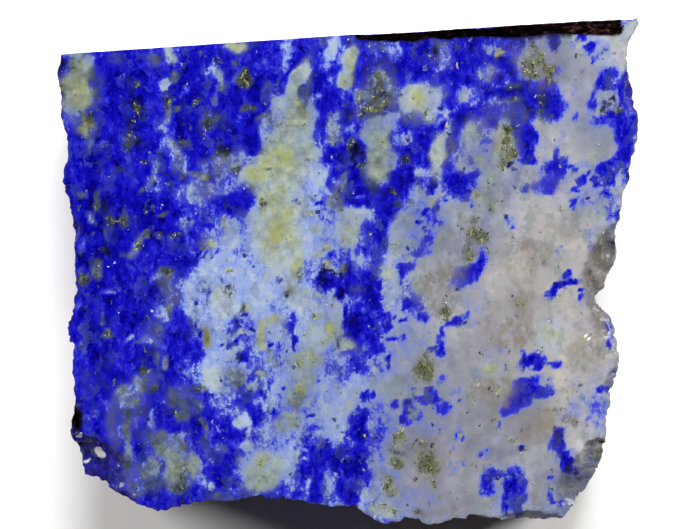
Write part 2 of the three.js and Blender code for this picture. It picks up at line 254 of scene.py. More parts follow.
# What the rock is made of, as soft-edged ovals on the sawn front, in millimetres: x, y, half
# the length, half the breadth, how much there is and, where the long axis is turned, by how
# many degrees. Later ovals lie over earlier ones. LAZURITE is the blue mineral, up to solid.
LAZURITE = [
    # The blue left third, and the paler ground of the rest.
    (-25.0, 0.0, 60.0, 13.5, 0.9, 90), (-14.0, 21.0, 11.0, 8.0, 0.86), (-3.0, 21.0, 9.0, 8.0, 0.82),
    (6.0, 14.0, 10.0, 8.0, 0.72, -20), (14.5, 21.6, 7.6, 6.2, 0.84),
    (-9.5, -4.0, 9.2, 12.0, 0.32, 90), (-12.0, -20.5, 7.5, 5.5, 0.84),
    (-20.5, -20.0, 5.0, 5.0, 0.66), (-3.0, -13.0, 8.0, 5.0, 0.28, 90),
    (24.0, 18.0, 6.5, 10.0, 0.16), (20.0, -3.0, 13.5, 12.5, 0.06), (15.0, -18.0, 14.0, 12.0, 0.1),
    (12.0, 4.0, 5.0, 10.0, 0.16, -25), (-19.6, 10.4, 0.5, 1.4, 0.7),
    (-26.0, 10.6, 0.3, 1.2, 0.72, 8), (-28.4, 10.8, 0.9, 1.3, 0.82), (-29.6, -6.6, 0.5, 2.2, 0.7),
    (-29.8, -8.3, 0.5, 0.3, 0.5), (-29.6, -11.6, 0.5, 1.8, 0.62), (-24.4, -8.3, 0.2, 0.5, 0.5, -20),
    (-20.4, -5.3, 0.7, 0.35, 0.3, 20), (-22.0, -7.9, 1.0, 0.4, 0.4, -25),
    (-20.2, -10.3, 0.4, 1.0, 0.42, 15), (-23.0, -12.5, 0.6, 1.1, 0.5, 20),
    (-25.4, -10.4, 1.0, 0.8, 0.8), (-26.0, -13.0, 1.2, 0.6, 0.75, 20),
    (-27.6, -14.6, 1.0, 0.7, 0.74), (-22.4, -9.2, 0.9, 0.8, 1.0), (-25.2, -9.6, 0.5, 0.2, 0.66),
    # Deep blue of the left, with its paler and darker streaks.
    (-27.0, 3.0, 9.0, 3.6, 1.0, 90), (-22.0, 4.0, 12.0, 2.4, 0.97, 86),
    (-17.5, 18.0, 7.0, 1.7, 1.0, 88), (-25.5, 20.5, 4.0, 2.2, 0.97, 90),
    (-22.0, 22.5, 2.2, 1.6, 0.86, 90), (-13.0, 17.0, 3.5, 1.2, 0.97, 90),
    (-29.2, -11.6, 3.2, 0.8, 0.72, 90), (-27.0, -11.5, 3.0, 1.6, 0.97, 90),
    (-22.0, 0.5, 2.2, 1.5, 0.84, 60), (-18.4, 1.2, 2.6, 1.2, 1.0, 90),
    (-20.6, 15.0, 1.8, 1.0, 0.88, 90), (-19.3, 24.4, 1.4, 0.5, 0.5),
    (-20.0, 20.35, 0.62, 0.58, 0.02), (-19.5, 23.4, 0.9, 0.7, 0.35),
    (-19.6, 14.9, 1.7, 0.7, 0.3, 85), (-18.9, 13.0, 1.4, 0.7, 0.35, -60),
    (-18.0, 11.4, 1.6, 0.6, 0.25, -70), (-21.4, 11.8, 1.2, 0.5, 0.6, 90),
    (-14.2, 21.8, 1.6, 0.5, 0.38, -62), (-14.5, 19.0, 1.2, 0.45, 0.5, 80),
    (-26.5, -2.2, 1.0, 0.28, 0.42, 5), (-28.2, 5.6, 0.9, 0.35, 0.35, -50),
    (-23.3, 2.4, 1.9, 0.55, 0.55, 62), (-24.0, -7.5, 0.7, 0.45, 0.3, 70),
    (-21.2, -0.8, 0.7, 0.4, 0.3, 70), (-29.5, 2.6, 1.2, 0.4, 0.6, 85), (-24.2, -1.2, 1.0, 0.5, 0.8),
    (-29.5, -4.0, 0.5, 0.5, 0.6), (-29.8, 21.4, 2.5, 1.4, 0.35, 90), (-30.2, 18.6, 1.5, 1.5, 0.34),
    (-29.0, 19.4, 1.2, 1.6, 0.3), (-31.6, 22.4, 1.3, 0.5, 1.0, 90),
    (-30.3, 23.9, 1.3, 0.35, 0.3, 8), (-28.6, 22.9, 0.9, 0.5, 0.3, 90),
    (-31.0, 16.3, 0.9, 0.6, 0.6, -20), (-28.6, 15.5, 0.8, 0.5, 0.5, 90),
    (-28.2, 14.0, 0.7, 0.45, 0.62, 90), (-26.7, 18.6, 0.6, 0.4, 0.62), (-26.6, 14.1, 0.5, 0.3, 0.5),
    (-20.6, 15.5, 0.6, 0.35, 0.45, 20), (-24.9, 21.4, 0.4, 0.3, 0.6, 30),
    (-21.9, 20.9, 1.0, 0.8, 0.82), (-19.3, 24.6, 0.9, 0.4, 0.45), (-12.5, 24.7, 1.3, 0.6, 0.3),
    (-12.5, 20.6, 0.5, 0.35, 0.55), (-14.5, 18.7, 0.5, 0.7, 0.6), (-11.4, 16.6, 0.5, 0.8, 0.72),
    (-6.8, 23.0, 0.6, 1.0, 0.5), (-12.0, 12.4, 1.4, 0.55, 0.42), (-7.5, 18.1, 1.0, 0.6, 0.2, 40),
    (-18.1, 19.7, 0.5, 0.7, 0.55), (-15.3, 21.7, 0.35, 0.3, 0.55), (-29.2, 0.4, 1.0, 2.4, 0.86),
    (-29.2, -11.6, 0.9, 2.2, 0.86), (-21.2, 9.2, 1.2, 1.2, 0.56),
    # The mottled grey-blue above and left of the pale cloud, and the blue blob in it.
    (-15.5, 8.6, 3.4, 2.4, 0.5, 10), (-13.6, 11.4, 2.2, 1.2, 0.42),
    (-17.2, 5.3, 1.9, 0.8, 0.85, 70), (-19.4, -1.6, 1.6, 1.0, 0.55, 80),
    (-12.2, 7.2, 1.7, 1.4, 1.0), (-11.4, 8.0, 0.9, 0.7, 0.93, 15), (-14.6, 5.4, 1.4, 1.2, 0.75),
    (-12.8, 9.6, 1.3, 0.7, 0.36), (-14.0, 7.2, 0.8, 0.9, 0.9), (-15.4, 5.0, 0.5, 0.9, 0.9, 30),
    (-17.2, 8.2, 0.8, 0.8, 0.45), (-13.4, 8.6, 1.0, 0.4, 0.42), (-14.8, 9.0, 0.8, 0.7, 0.3),
    (-15.0, 10.6, 0.35, 1.2, 1.0), (-12.0, 10.6, 0.6, 0.8, 0.85), (-11.3, 12.2, 0.9, 0.6, 0.34),
    (-11.6, 5.2, 1.2, 0.6, 0.45, 20), (-14.2, 3.6, 1.0, 0.7, 0.3), (-16.6, 3.0, 0.5, 1.8, 0.8),
    (-16.5, 1.2, 0.4, 0.9, 0.7), (-14.2, 0.4, 1.4, 0.7, 0.1), (-10.4, 6.2, 0.4, 0.5, 0.4),
    (-17.8, 7.0, 0.7, 0.8, 0.72), (-18.9, 5.2, 0.9, 1.6, 0.94), (-15.9, 6.6, 0.8, 0.5, 0.6),
    (-17.4, 5.2, 1.2, 1.2, 0.45), (-13.2, 9.4, 1.4, 0.9, 0.4), (-10.6, 13.4, 1.0, 1.4, 0.84),
    (-19.6, 13.6, 0.8, 1.8, 0.45), (-18.6, 11.6, 0.7, 1.2, 0.62), (-19.6, 17.4, 0.5, 1.8, 0.6),
    # The pale cloud left of the middle.
    (-12.6, 2.2, 2.6, 2.3, 0.26), (-15.6, -3.0, 2.3, 3.0, 0.3, 10), (-12.6, -2.0, 3.0, 3.4, 0.28),
    (-9.6, -2.0, 2.8, 2.6, 0.26), (-14.6, -10.6, 1.7, 3.2, 0.24, -8), (-15.2, -13.2, 0.9, 1.4, 0.3),
    (-12.7, -8.4, 0.9, 0.5, 0.76, 40), (-11.6, -9.8, 0.6, 0.4, 0.9, 20),
    (-18.6, -6.6, 1.5, 2.0, 0.86, -20), (-16.2, -7.0, 0.45, 0.4, 1.0),
    (-17.2, -8.8, 1.3, 0.9, 0.85, 60), (-15.7, -2.3, 0.5, 0.35, 0.66),
    (-14.5, 1.9, 0.8, 0.2, 0.5, 45), (-12.3, 2.5, 0.45, 0.35, 0.55), (-12.4, -14.2, 1.7, 0.7, 0.74),
    (-13.5, -15.5, 1.3, 0.8, 0.58, -20), (-11.7, -17.0, 0.9, 1.0, 0.2),
    (-13.4, -12.6, 0.5, 0.9, 0.5), (-16.6, -14.6, 1.5, 1.3, 0.97),
    (-18.0, -9.6, 1.1, 1.8, 0.95, 90), (-19.4, -11.8, 0.6, 1.5, 0.93),
    # The middle of the top: blue between the green streak and the pale columns.
    (-6.7, 23.8, 2.4, 0.6, 0.36, 88), (-9.3, 22.4, 1.0, 0.8, 0.62),
    (-8.6, 24.2, 1.2, 0.8, 0.86, 90), (-9.8, 18.6, 3.0, 1.1, 0.95, 88),
    (-10.7, 14.6, 1.7, 0.8, 1.0, 90), (-4.1, 24.0, 1.6, 0.9, 0.86, 80),
    (-3.4, 20.4, 2.4, 1.5, 1.0, 80), (-2.2, 18.0, 2.6, 1.3, 0.93, 70),
    (-4.9, 21.6, 1.3, 0.8, 0.12, 60), (-5.9, 20.2, 1.5, 0.9, 0.1, 62),
    (-6.4, 18.2, 1.5, 1.0, 0.16, 60), (-6.6, 16.0, 1.8, 1.6, 0.16),
    (-4.2, 16.4, 1.9, 0.75, 0.24, 85), (-3.4, 18.8, 0.9, 0.4, 0.42, 25),
    (-1.5, 16.2, 1.6, 0.65, 0.34, 88), (-1.7, 24.3, 1.7, 0.9, 0.22, 80),
    (-2.0, 22.4, 0.7, 0.6, 0.36), (0.3, 23.4, 1.9, 0.9, 0.2, 80), (-0.1, 20.9, 1.1, 0.85, 0.2, 90),
    (0.3, 25.0, 0.6, 0.4, 0.97), (2.6, 23.6, 2.0, 1.1, 0.72, 90), (2.3, 21.4, 1.2, 1.0, 0.97),
    (0.2, 17.4, 1.4, 0.7, 0.97, 80), (-0.2, 12.7, 2.6, 1.3, 1.0), (1.7, 12.6, 0.8, 0.9, 1.0, 90),
    (-4.0, 12.8, 1.4, 1.2, 0.22), (-6.6, 13.4, 2.5, 2.0, 0.1, 10), (-8.8, 14.0, 1.0, 1.3, 0.3, 20),
    (-8.6, 15.9, 1.2, 0.8, 0.5, 30), (-3.8, 9.8, 2.6, 1.8, 0.24), (-1.8, 9.3, 0.4, 0.8, 0.85, 15),
    (-8.2, 11.0, 3.0, 1.2, 0.08, 8), (-10.6, 10.2, 1.4, 0.9, 0.12), (-10.3, 12.2, 1.0, 0.35, 0.25),
    (-7.8, 5.0, 2.6, 4.6, 0.08, 6), (-10.2, 4.6, 1.2, 0.6, 0.2, 90), (-10.9, 2.4, 1.0, 1.4, 0.32),
    (-6.0, 22.8, 0.5, 0.45, 0.85), (-6.4, 21.5, 0.7, 0.25, 0.9, 50), (-4.7, 20.0, 0.5, 0.4, 1.0),
    (-4.3, 14.2, 0.9, 0.8, 0.2), (-1.8, 20.9, 0.7, 0.8, 0.6), (3.6, 23.6, 0.5, 0.7, 0.97),
    (4.9, 23.4, 0.7, 0.6, 0.5), (3.8, 16.2, 1.2, 0.7, 0.3), (5.8, 14.4, 0.6, 0.6, 0.4),
    (0.5, 15.6, 0.8, 0.35, 0.5), (1.3, 15.4, 0.35, 0.5, 0.9), (-1.3, 16.8, 0.65, 1.1, 0.36),
    (-2.6, 14.6, 0.7, 0.9, 0.64), (0.3, 16.6, 0.35, 0.4, 0.75), (-0.2, 20.4, 0.8, 0.6, 0.2),
    (6.4, 18.8, 0.8, 1.4, 0.16), (2.3, 14.3, 0.6, 0.5, 0.42), (0.4, 23.7, 0.9, 0.6, 0.15),
    (0.2, 22.4, 0.6, 0.7, 0.22), (3.9, 21.0, 0.9, 1.1, 0.3), (1.4, 19.4, 0.7, 0.8, 0.4),
    (2.2, 17.9, 1.0, 0.5, 0.5, 20), (-1.4, 10.6, 0.6, 0.35, 0.97, 20), (-2.0, 11.6, 1.1, 0.35, 0.4),
    (-1.6, 9.0, 0.3, 0.3, 0.6), (-1.2, 9.6, 0.4, 0.4, 0.4), (-0.4, 9.6, 0.35, 0.8, 0.5, -20),
    (0.3, 9.8, 0.3, 0.9, 0.8, -10), (0.1, 11.0, 0.35, 1.4, 0.84, -30), (1.3, 10.8, 0.5, 0.9, 1.0),
    (3.9, 8.7, 1.4, 0.5, 0.98), (4.6, 5.2, 1.0, 0.25, 0.8, 15), (6.4, 1.5, 0.5, 0.4, 0.9, -30),
    (4.6, -0.5, 0.9, 1.0, 0.24), (-0.1, 0.2, 0.4, 0.8, 1.0), (-5.0, 9.6, 0.9, 0.9, 0.3),
    (0.5, -0.2, 1.2, 0.4, 0.97),
    # Right of the middle of the top.
    (4.0, 15.6, 2.4, 1.0, 0.28, 10), (5.1, 16.8, 0.7, 0.7, 0.24), (8.0, 19.0, 2.5, 1.8, 0.18),
    (9.8, 17.8, 1.4, 1.6, 0.34), (6.8, 16.0, 1.2, 0.7, 0.86), (9.2, 15.2, 1.5, 0.7, 0.82, 20),
    (3.5, 12.6, 1.5, 2.8, 0.14, 4), (7.2, 13.2, 1.8, 1.3, 0.97), (8.5, 12.4, 0.9, 0.6, 0.93, 90),
    (6.0, 14.2, 0.6, 0.7, 0.35), (5.2, 11.8, 1.2, 0.4, 0.3, 90), (6.4, 10.2, 1.6, 1.0, 1.0),
    (9.9, 12.4, 0.6, 1.5, 0.2), (8.5, 10.7, 1.1, 0.6, 0.28, -20), (10.6, 14.2, 0.9, 1.2, 0.4),
    (7.9, 23.8, 1.9, 2.4, 0.93), (5.3, 21.9, 1.4, 0.7, 0.95), (4.8, 23.9, 1.0, 0.7, 0.4),
    (11.0, 11.5, 0.7, 0.3, 0.93, -15), (11.2, 10.9, 1.0, 0.25, 0.66), (13.6, 12.0, 0.5, 0.3, 0.8),
    (12.4, 8.9, 1.3, 0.6, 0.9), (14.0, 9.3, 0.7, 0.5, 0.6, 20), (10.7, 8.8, 0.4, 0.4, 0.7),
    (12.2, 8.0, 0.3, 0.25, 0.84), (10.7, 7.7, 0.5, 0.3, 0.66), (14.1, 7.0, 0.25, 0.25, 0.8),
    (7.9, 5.2, 0.5, 0.3, 0.86, 30), (8.8, 4.5, 0.5, 0.25, 0.8, -30),
    (9.6, 2.8, 0.4, 0.25, 0.84, -30), (9.1, 1.8, 0.35, 0.25, 0.6), (8.6, 2.4, 0.9, 0.8, 0.6, 30),
    (7.0, 0.4, 0.3, 0.7, 0.9), (6.9, 3.4, 0.8, 1.2, 0.34), (15.2, 13.0, 0.5, 0.3, 0.7, -30),
    (12.6, 5.6, 1.6, 1.3, 0.14), (13.0, -0.4, 1.0, 0.6, 0.93, 20), (14.9, 5.6, 0.9, 1.0, 0.2),
    (7.8, 9.4, 0.8, 0.4, 0.4), (10.4, 10.4, 0.3, 0.9, 0.36), (19.2, 25.2, 2.0, 0.8, 0.84),
    (23.0, 25.3, 0.9, 0.9, 0.86), (3.6, 22.6, 1.2, 1.0, 0.78), (11.2, 19.4, 1.1, 0.9, 0.3),
    (13.2, 18.8, 1.0, 1.3, 0.5), (12.2, 17.2, 0.8, 0.7, 0.46), (14.8, 21.7, 1.2, 0.8, 0.45),
    (7.6, 21.4, 1.2, 0.5, 0.4),
    # The blue band and bays in the middle.
    (1.6, 8.3, 2.2, 1.3, 1.0), (4.3, 7.2, 1.7, 2.0, 0.95), (6.2, 9.2, 1.3, 1.1, 1.0),
    (1.5, 8.0, 0.55, 0.5, 0.5), (1.1, 5.9, 1.9, 1.0, 0.1), (0.5, 4.2, 2.1, 1.8, 0.16),
    (4.0, 4.7, 0.55, 1.0, 0.93), (3.8, 2.9, 0.7, 0.4, 0.95), (2.3, 3.6, 1.0, 1.4, 0.26),
    (3.2, 1.1, 0.6, 0.7, 0.88), (-3.2, 3.2, 1.7, 2.4, 0.22), (-4.2, 7.6, 1.8, 1.3, 0.3),
    (-3.1, 7.5, 0.4, 0.3, 0.9), (-5.5, 7.4, 0.25, 0.2, 0.85), (-2.0, 5.6, 0.9, 0.5, 0.38),
    (-2.2, -1.3, 1.5, 0.9, 1.0), (-0.6, -2.5, 0.6, 0.7, 1.0, 20), (1.4, -1.3, 2.0, 1.4, 0.9),
    (2.8, -2.4, 1.1, 2.0, 0.9), (0.2, 0.8, 0.8, 0.35, 0.72), (2.6, -5.4, 1.8, 1.9, 0.82),
    (0.8, -6.8, 0.8, 1.5, 1.0), (2.6, -8.5, 1.7, 0.9, 0.8), (1.0, -4.0, 0.8, 0.5, 0.5),
    (1.8, -4.5, 0.35, 0.3, 0.4), (3.1, -6.0, 0.55, 0.45, 0.42), (1.4, -8.9, 0.9, 0.5, 0.66),
    (-1.2, -4.6, 0.9, 1.2, 0.2), (2.0, 1.4, 0.9, 0.4, 0.3), (5.3, -7.6, 0.8, 0.28, 0.85, 12),
    (1.0, -10.4, 0.9, 0.9, 0.8), (-0.9, -9.7, 0.6, 0.35, 0.93, 40),
    (4.6, -10.1, 0.6, 0.25, 0.95, 90), (-0.1, -4.8, 0.3, 1.6, 1.0), (1.0, -1.8, 0.6, 0.5, 0.75),
    (2.0, -10.9, 0.7, 1.0, 0.62), (2.3, -3.5, 0.5, 0.5, 0.97), (3.9, -5.4, 0.8, 0.4, 0.9),
    (4.5, -6.1, 0.4, 0.45, 1.0), (2.4, -6.5, 0.4, 0.5, 1.0), (3.2, -4.4, 0.5, 0.5, 0.66),
    (4.0, -4.2, 0.5, 0.5, 0.4), (0.0, -7.3, 0.45, 0.35, 1.0), (3.4, -8.8, 0.7, 0.45, 1.0),
    (2.0, -7.4, 0.6, 0.5, 0.72), (5.9, -1.6, 0.4, 0.35, 0.75), (6.9, -1.4, 0.4, 0.3, 0.6),
    (6.3, -7.4, 0.2, 0.2, 1.0), (3.6, -10.8, 0.5, 0.7, 0.5), (2.6, -9.7, 0.25, 0.15, 0.97),
    (-3.5, -12.2, 0.2, 0.18, 0.9), (2.1, -13.3, 0.25, 0.15, 1.0), (2.4, -14.3, 0.6, 0.5, 0.5),
    (4.8, -12.8, 1.4, 1.2, 0.16), (5.2, -15.0, 0.5, 0.3, 0.84), (-3.4, -3.0, 0.8, 0.4, 0.4, -20),
    (0.2, -9.3, 0.9, 0.25, 0.8), (5.2, -9.2, 0.5, 0.5, 0.4), (2.8, 3.2, 1.4, 2.2, 0.76),
    (-1.0, 1.2, 1.2, 1.0, 0.55), (7.2, -3.4, 1.2, 1.4, 0.5),
    # The pale columns and blue scraps right of the middle.
    (6.1, 4.0, 2.4, 1.1, 0.2, 84), (7.6, 8.4, 0.9, 1.0, 0.34, 50), (5.6, 1.4, 0.9, 1.7, 0.22),
    (4.9, -2.4, 1.0, 2.4, 0.3), (9.4, 9.2, 1.0, 0.33, 1.0, 75), (8.6, 6.3, 0.6, 0.4, 0.95, 30),
    (9.9, 6.9, 0.6, 0.4, 0.95, 60), (9.1, 3.5, 0.7, 0.5, 0.9, 30), (7.8, 2.0, 0.9, 0.6, 0.78, 40),
    (6.2, -0.2, 0.7, 0.6, 0.84, 90), (6.6, -3.6, 0.5, 0.4, 0.95, 30), (7.9, -5.0, 0.9, 0.9, 0.36),
    (5.6, -5.4, 0.7, 0.1, 0.95, -4), (8.4, -5.5, 0.42, 0.42, 0.93, 90), (9.6, 5.4, 0.9, 1.0, 0.5),
    (10.2, 9.4, 0.35, 0.8, 0.42),
    # Blue scraps in and below the pale cloud.
    (-7.4, -1.1, 0.22, 0.25, 1.0), (-8.8, -3.6, 0.4, 0.3, 0.5), (-6.8, -4.4, 0.3, 0.35, 0.7, 90),
    (-6.0, -6.5, 1.2, 0.4, 0.8, 86), (-5.9, -8.0, 0.7, 0.25, 0.95, 90),
    (-8.0, -7.4, 1.0, 1.3, 0.26), (-8.5, -8.3, 0.35, 0.3, 1.0, 20), (-3.5, -7.8, 1.6, 1.5, 0.12),
    (-4.5, -4.6, 1.8, 0.8, 0.24), (-8.6, -10.6, 1.8, 1.6, 0.4), (-8.6, -12.4, 0.35, 0.3, 1.0),
    (-10.8, -12.6, 1.3, 1.2, 0.55), (-9.8, -14.6, 1.7, 0.5, 0.97, 88),
    (-9.9, -16.2, 1.2, 0.42, 0.9, 90), (-8.3, -14.0, 0.9, 1.5, 0.24),
    (-7.95, -15.7, 0.22, 0.16, 1.0), (-6.9, -13.0, 0.3, 0.25, 0.88),
    (-1.3, -13.4, 1.7, 3.6, 0.2, 4), (-1.5, -16.8, 1.0, 1.6, 0.17),
    (-4.1, -16.1, 0.5, 0.2, 1.0, -30), (-3.8, -17.4, 0.5, 0.15, 0.97, -15),
    (-5.2, -20.8, 0.25, 0.22, 1.0),
    # The blue foot of the middle, with its white lens, and touches above it.
    (-3.2, -20.5, 1.2, 1.3, 0.88), (-1.0, -20.8, 1.9, 1.3, 1.0), (1.7, -17.3, 1.6, 1.7, 1.0, -20),
    (2.7, -16.4, 1.2, 0.9, 0.93, 90), (1.3, -20.8, 1.9, 2.1, 0.93),
    (0.4, -24.0, 1.9, 1.4, 0.93, 90), (-3.6, -23.2, 2.8, 0.9, 0.93, 90),
    (1.7, -14.1, 0.5, 0.5, 1.0, 40), (2.9, -13.8, 0.35, 0.35, 0.9), (1.8, -15.6, 0.5, 0.4, 0.97),
    (0.5, -19.4, 0.5, 0.4, 0.5), (-4.9, -22.3, 0.6, 0.4, 0.97, 80),
    (-5.5, -24.7, 0.7, 0.35, 0.9, 10), (-4.2, -24.0, 0.28, 1.0, 0.3),
    (-1.9, -23.5, 1.3, 0.6, 0.3, 88), (3.3, -17.0, 1.0, 2.2, 0.4), (3.4, -21.6, 1.0, 2.2, 0.27),
    (1.6, -23.3, 0.6, 0.6, 0.66), (-2.4, -19.1, 0.5, 0.5, 0.93), (0.3, -20.3, 0.7, 0.2, 0.62),
    (0.3, -22.7, 0.5, 0.5, 0.66), (-2.3, -21.5, 0.35, 0.3, 0.6), (-2.4, -25.3, 0.5, 0.35, 0.6),
    (-1.5, -19.6, 0.4, 0.5, 0.4), (4.7, -17.4, 0.9, 1.6, 0.42), (0.5, -18.3, 0.5, 0.5, 0.8),
    (1.0, -24.6, 0.4, 0.3, 0.5), (2.4, -24.6, 0.8, 0.9, 0.24), (5.0, -22.6, 0.8, 0.8, 0.24),
    (3.6, -16.4, 0.25, 0.7, 0.6), (6.4, -16.2, 0.5, 1.0, 0.97), (2.4, -22.8, 0.4, 0.5, 0.66),
    (-3.2, -22.0, 0.4, 0.3, 0.72), (-1.2, -11.2, 1.8, 1.8, 0.4), (-4.6, -14.6, 1.6, 1.2, 0.45),
    (-4.6, -18.4, 1.6, 1.2, 0.6), (3.4, -19.2, 0.9, 1.8, 0.6), (-8.6, -18.8, 1.2, 1.0, 0.6),
    (-1.6, -15.2, 1.6, 2.6, 0.22), (-13.4, 4.6, 1.8, 1.2, 0.38), (-2.2, 3.6, 0.8, 1.2, 0.3),
    (-8.8, -14.6, 1.4, 1.2, 0.36), (-9.4, -2.8, 1.4, 1.2, 0.16),
    # Bottom left, round the olive patches.
    (-27.4, -15.6, 1.2, 1.6, 0.82), (-24.2, -13.8, 1.6, 1.3, 0.48),
    (-22.7, -17.2, 1.4, 0.4, 0.86, 88), (-21.6, -17.0, 1.4, 0.5, 0.44, 88),
    (-18.0, -17.4, 1.6, 1.0, 0.86), (-15.0, -16.8, 1.3, 0.9, 0.95, 60),
    (-16.0, -19.0, 1.3, 1.1, 0.84), (-13.0, -18.8, 1.4, 1.0, 0.97), (-14.1, -21.8, 1.6, 1.7, 0.97),
    (-20.6, -25.2, 1.8, 0.8, 0.9), (-17.4, -24.8, 1.4, 0.7, 0.95), (-19.0, -21.4, 3.0, 2.2, 0.42),
    (-25.7, -18.8, 0.8, 1.6, 0.8), (-22.7, -20.2, 0.7, 1.1, 0.97), (-27.6, -21.0, 2.2, 2.2, 0.9),
    (-14.9, -24.3, 0.6, 0.4, 0.5), (-24.2, -18.2, 0.6, 2.2, 0.42), (-22.5, -18.4, 0.9, 0.9, 0.9),
    (-25.9, -18.5, 0.7, 0.35, 0.6), (-18.9, -18.4, 0.8, 0.4, 0.6), (-19.7, -21.4, 0.6, 0.9, 0.16),
    (-20.5, -22.2, 0.35, 1.2, 0.8), (-17.6, -23.2, 0.6, 1.0, 0.76), (-21.0, -24.8, 0.8, 0.8, 0.8),
    (-19.5, -24.7, 0.6, 0.5, 0.6), (-17.6, -25.2, 0.9, 0.5, 0.97), (-23.8, -22.9, 0.9, 0.5, 0.8),
    (-26.2, -21.2, 0.25, 0.9, 0.7), (-28.6, -16.4, 0.5, 0.3, 0.55), (-27.6, -16.6, 0.5, 0.9, 0.74),
    (-20.6, -16.4, 0.5, 1.0, 0.75), (-27.4, -22.0, 0.7, 0.9, 0.95), (-26.4, -15.6, 0.4, 1.2, 0.6),
    (-11.3, -17.6, 0.5, 0.4, 0.26), (-13.0, -20.8, 0.8, 0.4, 1.0), (-14.4, -17.6, 0.8, 0.6, 0.72),
    (-15.8, -19.6, 0.7, 0.8, 0.76), (-16.8, -21.4, 0.7, 1.2, 0.36), (-17.2, -19.6, 0.5, 0.5, 0.62),
    (-12.2, -24.3, 0.9, 0.4, 0.52), (-15.8, -24.0, 0.5, 0.6, 0.45), (-15.2, -21.8, 0.3, 0.9, 0.6),
    (-12.6, -22.4, 0.2, 1.0, 0.5), (-6.2, -23.6, 0.6, 0.5, 0.3), (-12.2, -19.4, 0.5, 0.4, 0.6),
    (-10.9, -18.2, 0.6, 0.25, 0.4), (-16.0, -15.2, 0.4, 0.5, 0.5), (-16.9, -17.6, 0.8, 0.9, 0.97),
    (-9.9, -24.0, 0.7, 0.5, 0.14), (-13.4, -14.8, 1.6, 1.2, 0.42), (-13.6, -19.4, 1.0, 0.7, 0.66),
    (-17.2, -14.6, 1.2, 1.0, 0.56),
    # White and blue scraps left of the middle, from the pale cloud down.
    (-7.4, -17.8, 2.6, 1.7, 0.3), (-6.5, -21.2, 2.4, 1.2, 0.28, 90), (-9.2, -22.2, 2.6, 2.4, 0.08),
    (-11.0, -19.4, 0.7, 0.8, 0.12, 20), (-17.0, -4.0, 1.0, 1.2, 0.32),
    (-13.8, -3.6, 1.4, 1.6, 0.06), (-16.8, -3.6, 0.4, 0.25, 0.6, -30),
    (-12.9, -6.6, 0.45, 0.4, 0.7), (-12.4, -5.8, 0.7, 0.5, 0.66), (-11.3, -4.8, 0.6, 0.2, 1.0),
    (-11.7, -7.5, 0.5, 0.25, 0.84, 20), (-14.0, -8.4, 0.35, 0.15, 0.9, 55),
    (-14.0, -7.6, 0.5, 0.6, 0.34), (-16.9, -8.6, 0.4, 0.35, 1.0), (-10.2, -11.2, 0.35, 0.2, 0.66),
    (-11.0, -8.4, 0.9, 0.8, 0.48), (-10.9, -6.3, 0.4, 0.5, 0.5), (-8.3, -7.0, 0.6, 0.8, 0.2),
    (-11.4, -14.4, 0.7, 0.6, 0.9), (-10.5, -13.3, 0.5, 0.6, 0.4),
    (-15.0, -12.0, 1.0, 1.8, 0.14, 10), (-17.2, -14.8, 1.0, 0.7, 1.0), (-8.8, -13.2, 0.3, 0.5, 0.8),
    (-9.3, -14.0, 0.3, 0.5, 0.93, 20), (-7.5, -9.4, 0.6, 1.0, 0.42), (-7.4, -14.4, 0.3, 0.5, 0.5),
    (-17.6, -10.0, 0.6, 0.5, 0.7), (-16.6, -11.6, 0.8, 0.8, 0.5), (-8.1, -14.6, 0.6, 0.6, 0.22),
    (-7.2, -8.0, 0.4, 0.4, 0.4), (-6.9, -2.8, 0.15, 0.3, 1.0), (-7.0, -11.5, 0.5, 1.0, 0.3),
    (-10.1, -3.8, 0.7, 1.2, 0.2),
    # Upper right: mottled blue, with pale ovals.
    (12.6, 21.6, 1.8, 1.3, 0.95, 30), (14.4, 25.4, 3.0, 0.8, 0.72),
    (16.6, 22.9, 1.8, 0.7, 0.93, 10), (15.9, 21.8, 1.1, 0.85, 0.32, 15),
    (16.5, 21.1, 0.5, 0.6, 0.95), (15.5, 24.4, 1.0, 0.5, 0.45, 10), (13.0, 19.3, 0.8, 1.0, 0.34),
    (10.9, 23.8, 0.8, 1.1, 0.4), (18.6, 22.2, 1.0, 1.6, 0.86), (19.4, 19.6, 2.0, 1.3, 0.98),
    (16.8, 19.4, 1.8, 0.6, 0.95, 8), (18.2, 25.4, 1.2, 0.9, 0.8), (13.4, 17.2, 1.4, 0.8, 0.84),
    (12.2, 15.8, 0.7, 1.4, 1.0), (11.4, 13.6, 0.6, 1.4, 0.84), (13.8, 14.8, 1.2, 1.7, 0.32),
    (15.4, 14.1, 0.6, 0.45, 0.78), (16.2, 17.4, 1.6, 0.6, 0.72), (13.9, 10.6, 0.8, 0.6, 0.88),
    (12.2, 9.8, 1.6, 0.8, 1.0), (12.6, 13.0, 1.0, 0.9, 0.36), (14.6, 12.4, 0.9, 1.1, 0.3),
    (13.2, 7.9, 0.8, 0.4, 0.5, -20), (15.9, 16.3, 0.5, 0.45, 0.97),
    (21.0, 23.0, 2.0, 2.6, 0.16, 10), (22.8, 25.1, 0.85, 0.95, 0.98), (20.4, 26.2, 1.4, 0.6, 0.6),
    (3.5, 19.8, 1.7, 1.9, 0.3), (23.0, 21.8, 0.7, 0.5, 0.72, 90), (19.7, 17.6, 1.7, 1.6, 0.93),
    (22.6, 18.4, 1.5, 2.0, 0.95), (23.3, 19.4, 0.5, 0.5, 0.62), (21.5, 20.3, 2.0, 0.6, 0.86),
    (19.7, 14.2, 1.2, 1.7, 0.93, 10), (20.0, 12.2, 0.9, 0.5, 0.95, 10),
    (18.6, 16.0, 0.9, 0.5, 0.9, 90), (17.3, 13.8, 1.4, 2.4, 0.1), (18.0, 11.7, 0.5, 0.3, 0.95, 20),
    (10.4, 22.2, 0.9, 0.6, 0.5), (8.6, 21.8, 1.0, 0.7, 0.97), (16.9, 21.1, 0.45, 0.5, 1.0),
